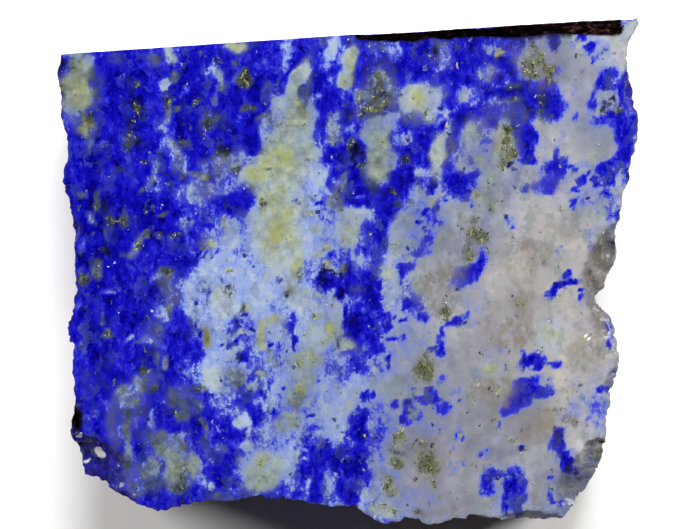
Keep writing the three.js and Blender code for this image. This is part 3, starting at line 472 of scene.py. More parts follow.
    (12.8, 22.0, 1.4, 0.9, 0.9), (11.2, 19.8, 0.7, 1.5, 0.88), (14.5, 19.2, 0.7, 1.1, 0.66),
    (15.8, 18.3, 0.8, 0.9, 0.42), (17.3, 19.6, 1.7, 0.45, 1.0, 5), (17.0, 17.6, 1.1, 0.6, 0.76),
    (18.6, 24.1, 0.9, 0.8, 0.62), (17.5, 25.4, 1.0, 0.4, 0.72), (10.1, 17.3, 0.9, 0.9, 0.4),
    (11.2, 15.8, 0.38, 1.3, 0.4), (10.8, 14.7, 0.6, 0.6, 0.3), (10.6, 15.9, 0.35, 0.3, 0.97),
    (9.4, 15.2, 0.8, 0.6, 0.86), (6.8, 16.1, 0.9, 0.8, 0.88), (8.0, 14.2, 1.1, 1.0, 0.96),
    (6.4, 14.5, 0.4, 0.6, 0.3), (10.2, 13.3, 0.9, 1.1, 0.22), (12.0, 13.7, 0.55, 0.5, 0.96),
    (15.1, 14.1, 0.6, 0.4, 0.78), (15.9, 16.3, 0.4, 0.5, 1.0), (19.3, 16.4, 0.9, 0.6, 0.82),
    (16.9, 24.1, 0.5, 0.4, 0.3), (12.6, 18.3, 0.3, 0.25, 0.1),
    # The pale top right, the blues along the right rim and the tongue below them.
    (25.5, 22.6, 2.2, 3.8, 0.12), (27.6, 23.9, 1.3, 1.2, 0.3), (26.3, 26.0, 0.7, 0.5, 0.8, 30),
    (26.9, 24.5, 0.7, 0.6, 0.72), (27.0, 22.7, 0.45, 0.4, 0.78), (30.2, 25.4, 1.7, 2.4, 0.03),
    (29.0, 21.2, 1.3, 1.1, 0.86, 80), (29.1, 21.0, 0.45, 0.5, 0.5),
    (28.0, 20.2, 1.4, 0.5, 0.86, 50), (27.1, 18.5, 1.3, 0.45, 0.88, 80),
    (31.0, 18.4, 1.1, 0.5, 0.84, 80), (28.6, 18.2, 1.0, 1.0, 0.34),
    (31.0, 16.2, 1.5, 1.1, 0.86, 90), (28.9, 16.4, 2.0, 0.8, 0.84), (29.0, 16.0, 0.6, 0.5, 0.5),
    (30.5, 14.0, 1.6, 1.2, 0.84, 70), (29.0, 10.9, 1.2, 1.4, 0.86), (28.0, 11.2, 0.7, 0.9, 0.95),
    (25.9, 9.9, 0.6, 0.5, 0.85, 10), (27.4, 13.2, 2.4, 1.3, 0.1), (24.6, 13.4, 1.8, 1.2, 0.08),
    (22.4, 14.4, 1.9, 1.2, 0.2, 10), (22.8, 11.2, 1.5, 0.75, 0.9, 78),
    (24.2, 11.5, 0.8, 0.4, 0.7, -25), (24.2, 10.1, 0.6, 0.5, 0.26),
    (19.8, 9.1, 0.5, 0.35, 0.86, 80), (22.2, 9.3, 0.8, 0.9, 0.9, 10),
    (25.2, 7.6, 0.5, 0.4, 0.68, 60), (28.5, 8.2, 0.7, 0.4, 0.84), (29.3, 6.1, 0.6, 0.45, 0.7, 20),
    (25.2, 16.6, 0.5, 0.6, 0.36), (21.4, 23.4, 1.3, 1.9, 0.22), (23.1, 21.8, 0.4, 0.5, 0.62),
    (24.6, 22.6, 1.2, 2.6, 0.1), (26.8, 23.5, 0.6, 0.4, 0.5), (28.2, 24.2, 0.7, 0.8, 0.36),
    (28.6, 19.3, 1.2, 0.7, 0.24), (22.8, 19.6, 0.5, 0.5, 0.66), (25.3, 16.6, 0.35, 0.45, 0.62),
    (23.9, 14.8, 0.35, 0.3, 0.5), (22.3, 15.3, 0.9, 0.8, 0.12), (20.1, 14.6, 1.1, 1.2, 0.95),
    (25.6, 25.4, 0.25, 0.25, 0.8), (24.6, 24.9, 0.5, 0.3, 0.42), (28.0, 23.1, 0.4, 0.18, 0.8),
    (31.3, 15.8, 0.6, 1.4, 0.8), (21.8, 8.6, 1.0, 0.4, 0.7), (20.8, 8.9, 0.5, 0.7, 0.45),
    (23.6, 12.3, 0.7, 0.4, 0.78), (25.0, 11.2, 0.3, 0.5, 0.6), (26.6, 10.6, 0.35, 0.4, 1.0),
    (27.3, 9.7, 0.35, 0.6, 1.0), (25.2, 9.1, 0.6, 0.3, 0.72, 10), (26.4, 11.9, 1.0, 0.5, 0.34),
    (25.2, 6.7, 0.5, 0.3, 0.7), (29.8, 6.4, 0.2, 0.8, 0.9), (29.9, 11.5, 0.7, 0.25, 0.6, 40),
    (26.2, 7.0, 0.8, 1.4, 0.34), (28.8, 7.2, 1.1, 1.2, 0.4), (30.1, 9.4, 0.4, 0.9, 0.14),
    (26.6, 4.4, 0.7, 1.2, 0.3), (28.2, 9.6, 0.7, 0.4, 0.78), (24.5, -0.6, 0.7, 0.35, 0.75),
    (22.9, 12.9, 0.4, 0.4, 0.7), (23.3, 2.0, 0.6, 0.5, 0.3), (27.3, 2.4, 0.4, 0.7, 0.36),
    (20.6, 13.3, 0.5, 0.4, 0.7), (25.5, 19.5, 0.6, 1.4, 0.2), (22.7, 10.8, 1.2, 1.4, 0.84, -20),
    (31.3, 27.3, 1.2, 0.9, 0.08), (26.6, 5.6, 1.0, 1.0, 0.12), (30.7, 22.2, 1.0, 1.8, 0.12),
    # Blue spots in the white right half.
    (15.0, 0.9, 1.2, 0.55, 0.88, 85), (13.0, -0.9, 1.7, 1.0, 0.93, 18),
    (14.4, -0.2, 0.8, 0.7, 0.86), (12.8, -1.5, 0.9, 0.5, 0.86, 10), (18.0, 4.5, 0.5, 0.4, 0.84),
    (18.0, 5.2, 0.7, 0.8, 0.34), (22.7, -2.7, 0.75, 0.5, 0.86, 60),
    (23.3, -1.7, 0.7, 0.45, 0.86, 40), (24.5, -1.4, 1.1, 0.42, 1.0, 5),
    (24.6, -0.3, 0.35, 0.28, 0.9), (25.8, -3.2, 0.45, 0.3, 0.76, 90),
    (12.2, -5.8, 0.7, 0.4, 0.8, 45), (13.6, -3.2, 1.9, 1.3, 0.22, 10),
    (13.2, -5.0, 0.6, 0.4, 0.5, 45), (10.5, -7.9, 1.6, 0.42, 0.72, 85),
    (20.7, -10.1, 0.95, 0.75, 0.9), (23.1, -10.5, 0.5, 0.5, 0.84), (19.4, -12.8, 1.3, 0.9, 0.9, 20),
    (20.8, -13.5, 1.2, 0.6, 0.9), (22.4, -13.4, 0.6, 0.45, 0.74, 10),
    (18.7, -14.3, 1.5, 0.9, 0.93, 40), (17.8, -15.5, 0.9, 0.6, 0.86, 20),
    (16.9, -17.0, 0.5, 0.22, 0.66, 70), (17.5, -11.0, 0.35, 0.3, 0.6), (9.4, -13.9, 0.9, 0.8, 0.84),
    (6.9, -15.6, 1.7, 0.7, 0.86, 88), (8.4, -14.5, 0.8, 0.5, 0.8),
    (10.6, -15.5, 0.8, 0.7, 0.76, -20), (7.2, -16.0, 0.45, 0.5, 0.4), (5.3, -15.1, 0.5, 0.4, 0.86),
    (11.0, -11.9, 0.5, 0.35, 0.62), (10.6, -12.4, 0.5, 0.5, 0.38),
    (12.2, -18.2, 0.65, 0.4, 0.64, 70), (14.9, -20.5, 0.48, 0.42, 0.88),
    (12.5, -21.4, 0.45, 0.5, 0.42), (15.6, -23.2, 0.9, 0.65, 0.86), (15.4, -24.6, 0.55, 0.5, 0.66),
    (18.9, -23.8, 2.3, 0.65, 0.84, 90), (17.6, -24.8, 1.9, 0.45, 0.84, 88),
    (16.8, -24.3, 0.8, 0.45, 0.5, 90), (8.8, -25.4, 1.8, 0.9, 0.2), (19.5, -19.7, 0.35, 0.28, 1.0),
    (23.4, -18.4, 0.5, 0.65, 1.0), (23.8, -20.1, 0.6, 0.3, 0.9, -35),
    (24.2, -21.6, 0.9, 0.55, 1.0, -50), (22.3, -23.1, 0.38, 0.25, 0.84),
    (22.5, -25.1, 0.65, 0.35, 0.84, 95), (23.1, -25.9, 0.5, 0.25, 0.72, -35),
    (27.5, -16.2, 0.9, 1.3, 0.3), (28.1, -13.2, 0.6, 0.45, 0.76), (26.0, -12.8, 1.4, 0.8, 0.2),
    (29.0, -8.2, 0.42, 0.32, 0.9, 90), (28.5, -5.4, 1.3, 0.35, 0.62, 90),
    (30.6, 12.6, 1.2, 0.9, 0.9, 80), (30.8, 19.8, 2.2, 0.8, 0.84, 84), (2.9, -7.6, 0.8, 1.6, 0.8),
    (8.1, -4.2, 0.35, 0.2, 0.84), (8.0, -5.0, 0.2, 0.2, 0.84), (7.5, -3.7, 0.3, 0.25, 0.86),
    (6.2, -4.0, 0.3, 0.2, 0.9), (6.3, -5.4, 0.4, 0.25, 0.8), (9.3, -4.8, 0.3, 0.2, 0.45),
    (6.8, -2.2, 0.6, 0.6, 0.5), (14.2, -1.2, 0.5, 0.3, 0.84), (11.4, -6.3, 0.5, 0.25, 0.9, 30),
    (10.3, -9.3, 0.45, 0.5, 0.93), (9.3, -8.9, 0.5, 0.3, 0.7), (9.0, -13.2, 0.55, 0.4, 1.0),
    (10.4, -14.4, 0.5, 0.6, 0.6), (10.6, -15.0, 0.9, 0.4, 0.8), (11.6, -14.0, 0.5, 0.9, 0.26),
    (12.6, -14.5, 0.2, 0.25, 0.6), (12.4, -13.4, 0.4, 0.4, 0.3), (14.6, -4.6, 0.5, 0.4, 0.3),
    (13.8, -5.8, 0.9, 0.5, 0.24), (7.4, -13.2, 0.3, 0.2, 0.7), (8.0, -8.2, 0.7, 0.4, 0.26),
    (14.2, -2.8, 0.8, 0.6, 0.14), (17.2, -8.8, 0.6, 0.4, 0.24), (15.8, -9.6, 0.6, 0.4, 0.26),
    (14.2, -11.6, 0.5, 0.6, 0.26), (25.8, -2.4, 0.25, 0.22, 1.0), (25.9, -4.1, 0.25, 0.5, 0.3),
    (22.4, -10.5, 0.35, 0.25, 0.66), (19.5, -10.4, 0.4, 0.7, 0.84), (20.7, -11.2, 0.5, 0.3, 0.78),
    (22.4, -12.5, 0.3, 0.2, 0.62), (21.5, -12.1, 0.5, 0.35, 0.2), (19.7, -14.6, 0.8, 0.7, 0.86),
    (28.3, -13.0, 0.22, 0.25, 1.0), (26.2, -14.6, 1.8, 0.8, 0.34), (28.4, -4.2, 0.25, 0.4, 0.95),
    (28.9, -7.3, 0.3, 0.5, 0.36), (19.4, -9.2, 0.25, 0.4, 0.5), (21.6, -14.6, 0.6, 0.3, 0.24),
    (28.2, -15.4, 0.5, 0.8, 0.4), (16.6, -22.4, 0.9, 0.32, 0.86, -10), (16.5, -25.9, 0.4, 0.6, 0.3),
    (15.4, -20.0, 0.4, 0.3, 0.4, 30), (9.2, -15.6, 0.3, 0.6, 0.42), (8.0, -16.4, 0.35, 0.7, 0.5),
    (9.2, -17.6, 1.4, 1.0, 0.24), (7.4, -24.8, 1.2, 0.6, 0.26), (12.9, -24.6, 1.6, 1.3, 0.06),
    (17.4, -21.2, 0.7, 0.6, 0.2), (17.3, -15.8, 0.5, 0.35, 0.8, 30), (12.9, -18.6, 0.2, 0.25, 0.7),
    (12.2, -19.6, 0.6, 0.3, 0.3), (19.6, -21.6, 0.4, 0.3, 0.3), (11.6, -21.8, 0.6, 0.8, 0.26),
    (24.9, -22.4, 0.25, 0.3, 1.0), (24.6, -20.3, 0.35, 0.3, 0.5), (22.5, -19.6, 0.3, 0.6, 0.36),
    (23.8, -16.4, 0.6, 0.5, 0.3), (23.9, -17.6, 0.25, 0.4, 0.55), (22.9, -21.0, 0.25, 0.5, 0.42),
    (25.0, -15.6, 1.2, 0.5, 0.26), (26.3, -16.4, 0.4, 0.5, 0.3), (15.4, -23.5, 0.8, 1.5, 0.72),
    (15.6, -22.9, 0.9, 0.5, 0.86), (17.0, -22.8, 0.6, 0.35, 0.8), (18.6, -24.4, 1.0, 2.2, 0.76),
    (23.4, -18.7, 0.7, 1.0, 1.0), (24.1, -21.0, 1.5, 0.6, 1.0, -60), (24.9, -19.0, 0.7, 1.0, 0.08),
    (25.6, -20.6, 0.5, 0.7, 0.12), (20.8, -9.8, 0.9, 0.7, 0.86), (19.6, -13.4, 1.6, 1.0, 0.86, 30),
    (22.4, -2.7, 0.5, 0.35, 0.88, 30), (16.6, -24.8, 0.4, 1.0, 0.3), (27.2, -15.2, 1.0, 1.0, 0.3),
    (30.4, 9.4, 0.5, 1.4, 0.3),
]

# The olive and yellow-green mineral between the blue grains.
DIOPSIDE = [
    (-29.9, 22.6, 1.1, 1.3, 0.85), (-29.4, 20.0, 2.3, 2.4, 0.85), (-30.0, 18.0, 1.6, 1.5, 0.7),
    (-28.6, 15.6, 1.1, 0.75, 0.9, 80), (-28.3, 13.9, 1.0, 0.5, 0.5, 90),
    (-25.8, 23.2, 0.9, 0.8, 0.35), (-21.5, 23.2, 0.8, 0.9, 0.5), (-19.5, 23.5, 0.7, 0.7, 0.6),
    (-19.2, 21.0, 0.7, 0.45, 0.7, 90), (-19.8, 17.8, 1.6, 0.45, 0.6, 88),
    (-19.0, 13.4, 1.2, 0.5, 0.5, -60), (-15.2, 16.6, 1.1, 0.8, 0.7, 40),
    (-16.4, 18.4, 0.35, 0.35, 0.8), (-12.4, 24.8, 1.3, 0.7, 0.75),
    (-14.0, 21.6, 1.4, 0.35, 0.4, -62), (-11.4, 21.2, 0.9, 0.9, 0.7), (-14.0, 12.8, 1.0, 0.9, 0.6),
    (-15.8, 10.2, 0.9, 0.5, 0.7), (-12.4, 11.4, 0.7, 0.6, 0.6), (-10.8, 17.7, 0.9, 0.4, 0.7),
    (-29.1, 8.3, 0.5, 0.4, 0.6), (-27.5, 7.7, 1.2, 0.38, 0.95, 86),
    (-28.2, 5.8, 1.1, 0.4, 0.5, -52), (-26.1, 4.8, 1.6, 0.5, 0.5, 86),
    (-24.4, 5.6, 1.2, 0.5, 0.5, 80), (-23.2, 2.4, 1.7, 0.5, 0.45, 62),
    (-27.6, -0.1, 1.0, 0.6, 0.7, 85), (-29.1, -1.1, 0.6, 0.5, 0.5),
    (-20.2, -0.2, 0.9, 0.6, 0.75, -30), (-19.6, -2.0, 0.9, 0.6, 0.4, 80),
    (-19.5, -4.8, 0.6, 0.85, 0.85), (-21.7, -8.3, 0.6, 0.35, 0.8, -50),
    (-27.1, -5.5, 0.9, 0.38, 0.75, 85), (-26.6, -7.1, 0.6, 0.4, 0.9), (-22.3, -7.8, 0.8, 0.35, 0.8),
    (-21.4, -9.6, 0.8, 0.5, 0.5, -60), (-13.4, 4.4, 0.9, 0.5, 0.4, 80), (-16.0, 2.4, 0.4, 0.6, 0.4),
    (-10.8, -0.3, 0.5, 0.3, 0.3), (-15.4, -7.7, 1.0, 0.42, 0.95, 85),
    (-11.7, -6.8, 0.5, 0.45, 0.65), (-5.4, 19.0, 4.6, 1.2, 0.55, 76),
    (-6.6, 12.6, 4.6, 2.8, 0.62, 70), (-7.0, 5.0, 6.2, 2.2, 0.62, 86),
    (-9.6, 10.2, 2.6, 1.6, 0.62, 10), (-5.0, 21.8, 1.6, 0.7, 0.5, 60),
    (-5.6, 16.9, 1.7, 1.0, 0.75, 88), (-6.0, 19.6, 1.4, 0.8, 0.4, 60),
    (-9.0, 16.4, 1.1, 0.7, 0.6, 60), (-8.8, 19.4, 1.2, 0.5, 0.4, 88), (-6.2, 14.6, 1.4, 1.0, 0.5),
    (-7.6, 12.6, 2.2, 1.2, 0.8, 15), (-5.0, 12.6, 1.4, 1.0, 0.5), (-9.8, 10.6, 1.5, 0.9, 0.85, 20),
    (-6.4, 11.2, 1.5, 0.9, 0.85), (-1.3, 14.6, 0.8, 0.5, 0.6), (0.5, 23.6, 1.1, 0.8, 0.75, 70),
    (0.0, 20.7, 0.9, 0.8, 0.75, 90), (0.6, 21.9, 1.4, 0.4, 0.6, 80), (8.0, 19.0, 2.2, 1.6, 0.45),
    (3.6, 12.4, 3.8, 1.6, 0.55, 84), (10.0, 12.2, 2.4, 1.0, 0.5, 82),
    (7.8, 19.4, 0.9, 0.6, 0.85, 90), (8.9, 17.0, 0.9, 0.7, 0.7, 90), (3.6, 13.9, 1.3, 1.0, 0.7, 80),
    (3.6, 11.2, 1.7, 1.0, 0.65, 88), (2.0, 10.6, 1.0, 0.5, 0.5, 80), (0.6, 13.8, 0.6, 0.6, 0.8),
    (3.4, 18.0, 1.4, 0.6, 0.6, 30), (1.4, 19.4, 0.7, 0.7, 0.6), (9.9, 12.2, 1.3, 0.5, 0.55, 86),
    (6.5, 12.0, 0.7, 0.4, 0.4, 90), (-8.8, 7.4, 1.3, 1.0, 0.8, 90), (-6.8, 5.6, 1.2, 1.0, 0.75, 60),
    (-7.9, 3.8, 1.6, 1.2, 0.8, 70), (-6.4, 2.4, 1.8, 1.0, 0.5, 80), (-7.4, 1.3, 2.2, 0.9, 0.5),
    (-5.4, 1.2, 1.4, 0.6, 0.75, 80), (-10.0, 4.7, 1.0, 0.5, 0.7, 88), (-9.0, -1.0, 0.9, 0.7, 0.35),
    (-4.0, 6.2, 0.6, 0.4, 0.75), (-3.5, 4.6, 0.6, 0.5, 0.55), (-2.3, 2.4, 0.5, 0.5, 0.75),
    (-3.2, 1.5, 0.6, 0.4, 0.5), (-2.2, 0.4, 0.6, 0.5, 0.85), (-0.4, 9.8, 0.9, 0.35, 0.5, 70),
    (-0.8, 6.8, 0.7, 0.5, 0.5, 90), (0.5, 3.9, 1.0, 0.9, 0.9, 60), (5.6, 2.4, 1.4, 0.7, 0.5, 80),
    (6.9, 7.0, 0.9, 0.4, 0.6, 75), (5.6, 5.6, 0.9, 0.7, 0.4), (4.6, -0.6, 0.9, 0.6, 0.7, 90),
    (9.5, 7.7, 0.6, 0.25, 0.8, 45), (-4.2, -2.6, 0.9, 0.5, 0.7, -30),
    (-6.2, -1.4, 1.0, 0.6, 0.4, -40), (-9.8, -7.4, 1.4, 0.35, 1.0, 82),
    (-1.7, -6.3, 0.7, 0.55, 0.95), (-2.4, -7.8, 0.9, 0.6, 0.4, 60), (-4.9, -9.9, 1.4, 0.7, 0.75),
    (-3.4, -5.0, 0.7, 0.4, 0.6, 20), (-5.6, -13.8, 1.2, 0.7, 0.85, 88),
    (-6.7, -16.8, 1.3, 1.0, 0.65, 40), (-9.4, -11.6, 0.6, 0.4, 0.6), (-12.4, -12.0, 0.7, 1.1, 0.65),
    (-16.3, -13.0, 0.6, 0.5, 0.7), (-18.0, -13.2, 1.1, 0.5, 0.55, 10),
    (-18.8, -14.6, 0.9, 0.7, 0.5), (-18.3, -16.1, 0.55, 0.6, 0.95),
    (-15.7, -17.4, 1.2, 0.32, 1.0, -65), (-24.9, -13.3, 1.0, 0.6, 0.55, 30),
    (-24.0, -15.2, 1.4, 1.0, 0.4, 80), (-24.2, -18.4, 2.2, 0.5, 0.75, 90),
    (-24.3, -20.9, 0.8, 1.1, 0.85), (-22.4, -12.6, 1.2, 0.8, 0.45, 80),
    (-18.8, -21.6, 1.2, 2.2, 0.85), (-16.8, -21.5, 0.8, 1.1, 0.75), (-18.8, -24.0, 1.3, 0.6, 0.75),
    (-21.6, -21.8, 1.2, 0.5, 0.75, 88), (-20.4, -18.6, 1.5, 0.9, 0.5),
    (-23.3, -24.2, 1.1, 0.8, 0.8, -30), (-13.5, -19.7, 0.5, 0.5, 0.6),
    (-28.2, -19.4, 0.4, 1.4, 0.45), (-9.0, -21.8, 1.6, 1.8, 0.4), (-9.5, -20.9, 1.1, 0.5, 0.75),
    (-7.8, -21.6, 1.0, 0.8, 0.4), (-10.8, -22.6, 1.0, 0.7, 0.35, 90),
    (16.9, 24.1, 0.55, 0.42, 0.95), (18.3, 18.6, 1.0, 0.5, 0.6, 10),
    (18.4, 20.1, 0.9, 0.3, 0.5, 10), (21.5, 17.2, 0.95, 0.38, 0.85, 85),
    (20.8, 23.4, 1.4, 0.9, 0.4, -60), (17.5, 13.4, 2.6, 1.3, 0.6, 86),
    (14.9, 11.9, 0.8, 0.45, 0.85, 100), (16.0, 10.0, 1.2, 0.4, 0.45, 70),
    (13.0, 19.0, 0.8, 0.7, 0.25), (12.2, 5.9, 0.9, 0.7, 0.55), (14.6, 8.4, 0.7, 0.5, 0.6),
    (16.0, 7.4, 1.4, 0.9, 0.35), (27.4, 12.8, 1.6, 0.9, 0.2), (27.2, 6.2, 1.5, 0.8, 0.25),
    (21.7, 1.6, 0.9, 0.6, 0.4), (23.8, -3.4, 0.9, 0.45, 0.45), (22.3, -7.2, 0.7, 0.8, 0.5),
    (15.6, -11.1, 0.6, 0.4, 0.9), (5.9, -14.1, 0.8, 0.45, 0.6), (7.2, -16.0, 0.5, 0.5, 0.6),
    (16.0, -25.6, 0.9, 0.6, 0.4, 30), (3.7, -26.4, 1.0, 0.7, 0.6), (5.9, -18.7, 0.7, 0.7, 0.8),
    (8.7, -21.4, 1.3, 1.5, 0.6), (4.8, -24.0, 1.4, 0.6, 0.5, -50), (8.6, -11.0, 1.5, 0.9, 0.6, 86),
    (14.0, -14.0, 0.8, 0.4, 0.6, 90), (18.2, -18.7, 0.7, 0.4, 0.6),
    (27.5, -20.2, 1.7, 0.6, 0.5, 80), (26.6, -7.5, 0.6, 0.4, 0.4), (26.2, -10.2, 1.2, 0.7, 0.3),
    (-29.4, 20.4, 1.8, 2.0, 0.8), (-30.6, 17.6, 1.0, 0.8, 0.45), (-12.6, 22.6, 0.35, 0.6, 0.55),
    (-13.8, 20.3, 0.5, 0.4, 0.6), (-14.5, 18.7, 0.5, 0.7, 0.55), (-19.2, 21.2, 0.5, 0.8, 0.6),
    (-18.1, 14.0, 0.8, 0.4, 0.6), (-16.7, 20.8, 0.3, 0.25, 0.5), (-16.1, 23.8, 0.3, 0.25, 0.5),
    (-24.2, 14.3, 0.8, 0.9, 0.45), (-18.9, 17.5, 0.4, 0.4, 0.5), (-5.2, 17.6, 0.6, 1.2, 0.85),
    (3.0, 17.7, 0.8, 0.5, 0.75), (-0.2, 20.5, 0.7, 0.5, 0.8), (1.9, 14.9, 0.5, 0.5, 0.55),
    (6.4, 18.6, 0.6, 1.2, 0.45), (12.4, 24.6, 0.4, 0.35, 0.5), (15.6, 24.4, 0.7, 0.45, 0.35, 10),
    (17.9, 20.4, 0.7, 0.3, 0.55, 15), (13.7, 15.2, 0.8, 1.2, 0.45), (10.8, 24.9, 0.7, 0.3, 0.5),
    (19.4, 16.3, 0.6, 0.5, 0.5), (29.9, 17.5, 0.4, 0.35, 0.8), (25.4, 20.4, 0.25, 0.2, 0.6),
    (-22.2, 9.0, 1.2, 0.35, 0.4, 35), (-21.4, 9.8, 0.7, 0.4, 0.5, 60),
    (-20.4, 6.0, 0.9, 0.3, 0.4, 10), (-28.0, 5.4, 0.7, 0.4, 0.6, -50), (-24.5, 1.6, 0.5, 0.4, 0.4),
    (-29.5, 2.4, 0.9, 0.3, 0.35, 85), (-29.5, -0.2, 0.4, 0.4, 0.4), (-21.9, 4.0, 0.5, 0.45, 0.8),
    (-20.6, 3.9, 0.5, 0.3, 0.7), (-13.5, 4.9, 0.7, 0.35, 0.6, 80), (-15.4, 2.8, 0.5, 0.35, 0.6, 20),
    (-14.7, 2.7, 0.4, 0.3, 0.5, 30), (-9.9, 4.6, 0.9, 0.3, 0.7, 90), (-12.9, 0.0, 0.7, 0.35, 0.8),
    (-11.8, -0.1, 0.6, 0.3, 0.5), (-9.1, -0.8, 0.4, 0.3, 0.5), (-18.2, 10.6, 0.8, 0.4, 0.4, 60),
    (-16.4, 10.2, 1.0, 0.25, 0.6, -10), (-15.8, 10.2, 0.45, 0.5, 0.9),
    (-18.4, 12.2, 1.0, 0.3, 0.4, -70), (-17.0, 4.8, 0.5, 0.4, 0.4), (-9.0, 5.9, 0.5, 0.3, 0.7, -30),
    (-6.5, 8.2, 0.5, 0.3, 0.5, 90), (-1.3, 8.2, 0.6, 0.35, 0.6, 80),
    (0.0, 10.6, 0.6, 0.3, 0.45, 55), (0.2, 4.1, 1.2, 1.0, 0.5), (-0.4, 2.6, 0.4, 0.3, 0.6),
    (-1.8, 7.6, 0.7, 0.4, 0.35, 80), (-0.6, 0.0, 0.5, 0.3, 0.7), (6.6, 5.6, 0.6, 0.35, 0.5, 60),
    (6.9, 2.9, 0.7, 0.4, 0.4), (12.4, 11.6, 0.5, 0.5, 0.4), (13.3, 6.1, 0.6, 0.5, 0.35),
    (11.7, 5.2, 0.4, 0.6, 0.35), (16.4, 6.8, 0.8, 0.8, 0.4), (10.2, 3.6, 0.3, 0.5, 0.4),
    (13.8, 1.4, 0.3, 0.9, 0.6), (8.4, 0.4, 0.5, 0.8, 0.25), (18.0, 10.0, 0.4, 1.0, 0.2),
    (27.9, 5.8, 0.8, 0.7, 0.45), (27.6, 12.9, 0.5, 0.4, 0.5), (23.2, 1.0, 0.9, 0.5, 0.35),
    (20.3, 6.8, 0.8, 0.6, 0.25), (24.8, 3.9, 0.8, 1.0, 0.25), (-24.0, -7.5, 0.5, 0.4, 0.35),
    (-20.1, -10.3, 0.9, 0.35, 0.45, 85), (-22.5, -11.2, 0.35, 0.4, 0.8),
    (-21.3, -13.1, 0.4, 0.45, 0.6), (-23.9, -14.4, 0.5, 0.35, 0.6), (-25.6, -14.5, 0.6, 0.5, 0.4),
    (-20.4, -5.3, 0.6, 0.3, 0.4, 20), (-9.0, -5.7, 0.9, 0.3, 0.85, 20), (-9.5, -8.5, 0.4, 0.4, 0.8),
    (-8.7, -9.8, 0.45, 0.5, 0.55), (-13.2, -11.6, 0.4, 0.3, 0.5), (-11.0, -4.1, 0.5, 0.3, 0.7),
    (-6.5, -2.4, 0.45, 0.7, 0.6), (-17.8, -13.2, 0.7, 0.4, 0.4), (-6.5, -10.0, 0.4, 0.4, 0.6),
    (-7.3, -6.4, 0.4, 0.3, 0.4), (-14.8, -5.6, 0.9, 0.7, 0.2), (-1.9, -7.6, 0.6, 0.35, 0.6, 85),
    (0.0, -8.3, 0.5, 0.45, 0.6), (5.3, -6.9, 0.6, 0.3, 0.45), (2.6, -14.8, 0.4, 0.3, 0.55),
    (5.0, -2.4, 0.9, 1.0, 0.25), (0.0, -3.7, 0.3, 0.4, 0.35), (-3.4, -3.9, 0.8, 0.5, 0.3),
    (7.5, -6.9, 0.9, 0.5, 0.3), (8.4, -7.2, 0.3, 0.15, 0.6, 90), (12.4, -4.2, 0.4, 0.3, 0.4),
    (13.2, -2.8, 0.9, 0.6, 0.3), (18.6, -10.6, 0.7, 0.8, 0.4), (11.6, -2.8, 0.4, 0.35, 0.5),
    (17.3, -12.6, 1.2, 0.35, 0.45, 90), (7.4, -13.8, 0.5, 0.35, 0.5), (29.0, -9.2, 0.25, 0.2, 0.7),
    (21.7, -11.8, 0.5, 0.4, 0.35), (22.6, -9.6, 0.5, 0.2, 0.3), (-19.9, -19.8, 1.2, 0.6, 0.7),
    (-28.2, -19.8, 1.4, 0.25, 0.5, 88), (-23.3, -24.4, 0.8, 0.7, 0.7),
    (-18.2, -19.8, 0.8, 0.5, 0.6), (-26.3, -22.9, 0.4, 0.4, 0.3), (-7.0, -17.2, 0.6, 0.7, 0.5),
    (-12.0, -21.6, 0.3, 0.8, 0.3), (-11.2, -17.2, 0.4, 0.3, 0.35), (12.8, -22.6, 0.4, 0.3, 0.35),
    (15.4, -26.0, 0.4, 0.4, 0.5), (9.5, -23.8, 0.4, 0.4, 0.5), (8.5, -17.3, 0.4, 0.25, 0.25),
    (13.8, -18.4, 0.5, 0.5, 0.3), (7.2, -23.4, 0.5, 0.3, 0.45), (19.4, -16.2, 0.5, 0.3, 0.35),
    (3.4, 24.6, 1.6, 0.8, 0.4), (-5.0, -3.4, 1.8, 1.4, 0.4), (-5.0, -11.0, 1.6, 1.6, 0.45),
    (-17.0, -15.0, 1.4, 1.2, 0.45), (-21.4, -7.0, 1.4, 1.6, 0.4), (-29.2, 17.4, 1.4, 1.6, 0.7),
    (-18.8, 11.4, 0.6, 1.2, 0.5), (-19.8, 17.6, 0.5, 1.6, 0.5), (-27.6, 20.0, 0.7, 1.8, 0.5),
    (-9.2, 16.4, 0.7, 0.8, 0.5), (9.8, 19.6, 1.6, 1.0, 0.35), (5.9, -18.7, 0.9, 0.8, 0.9, 40),
    (5.4, -21.4, 0.8, 0.7, 0.9), (4.4, -23.7, 0.6, 0.9, 0.8), (-12.4, -12.2, 0.9, 1.3, 0.85),
    (7.0, 17.2, 1.6, 1.2, 0.4), (18.8, 17.0, 1.8, 1.0, 0.4), (3.4, 16.8, 1.4, 0.9, 0.4),
    (-21.4, -22.8, 1.4, 1.6, 0.6), (-9.4, -23.6, 2.0, 1.2, 0.6), (4.0, -26.6, 1.8, 0.8, 0.6),
    (-13.4, -25.2, 1.4, 0.6, 0.5), (-15.4, -7.4, 0.5, 1.0, 0.8), (-5.4, -13.8, 0.8, 1.4, 0.85),
    (-4.2, -10.0, 1.6, 0.9, 0.8),
]

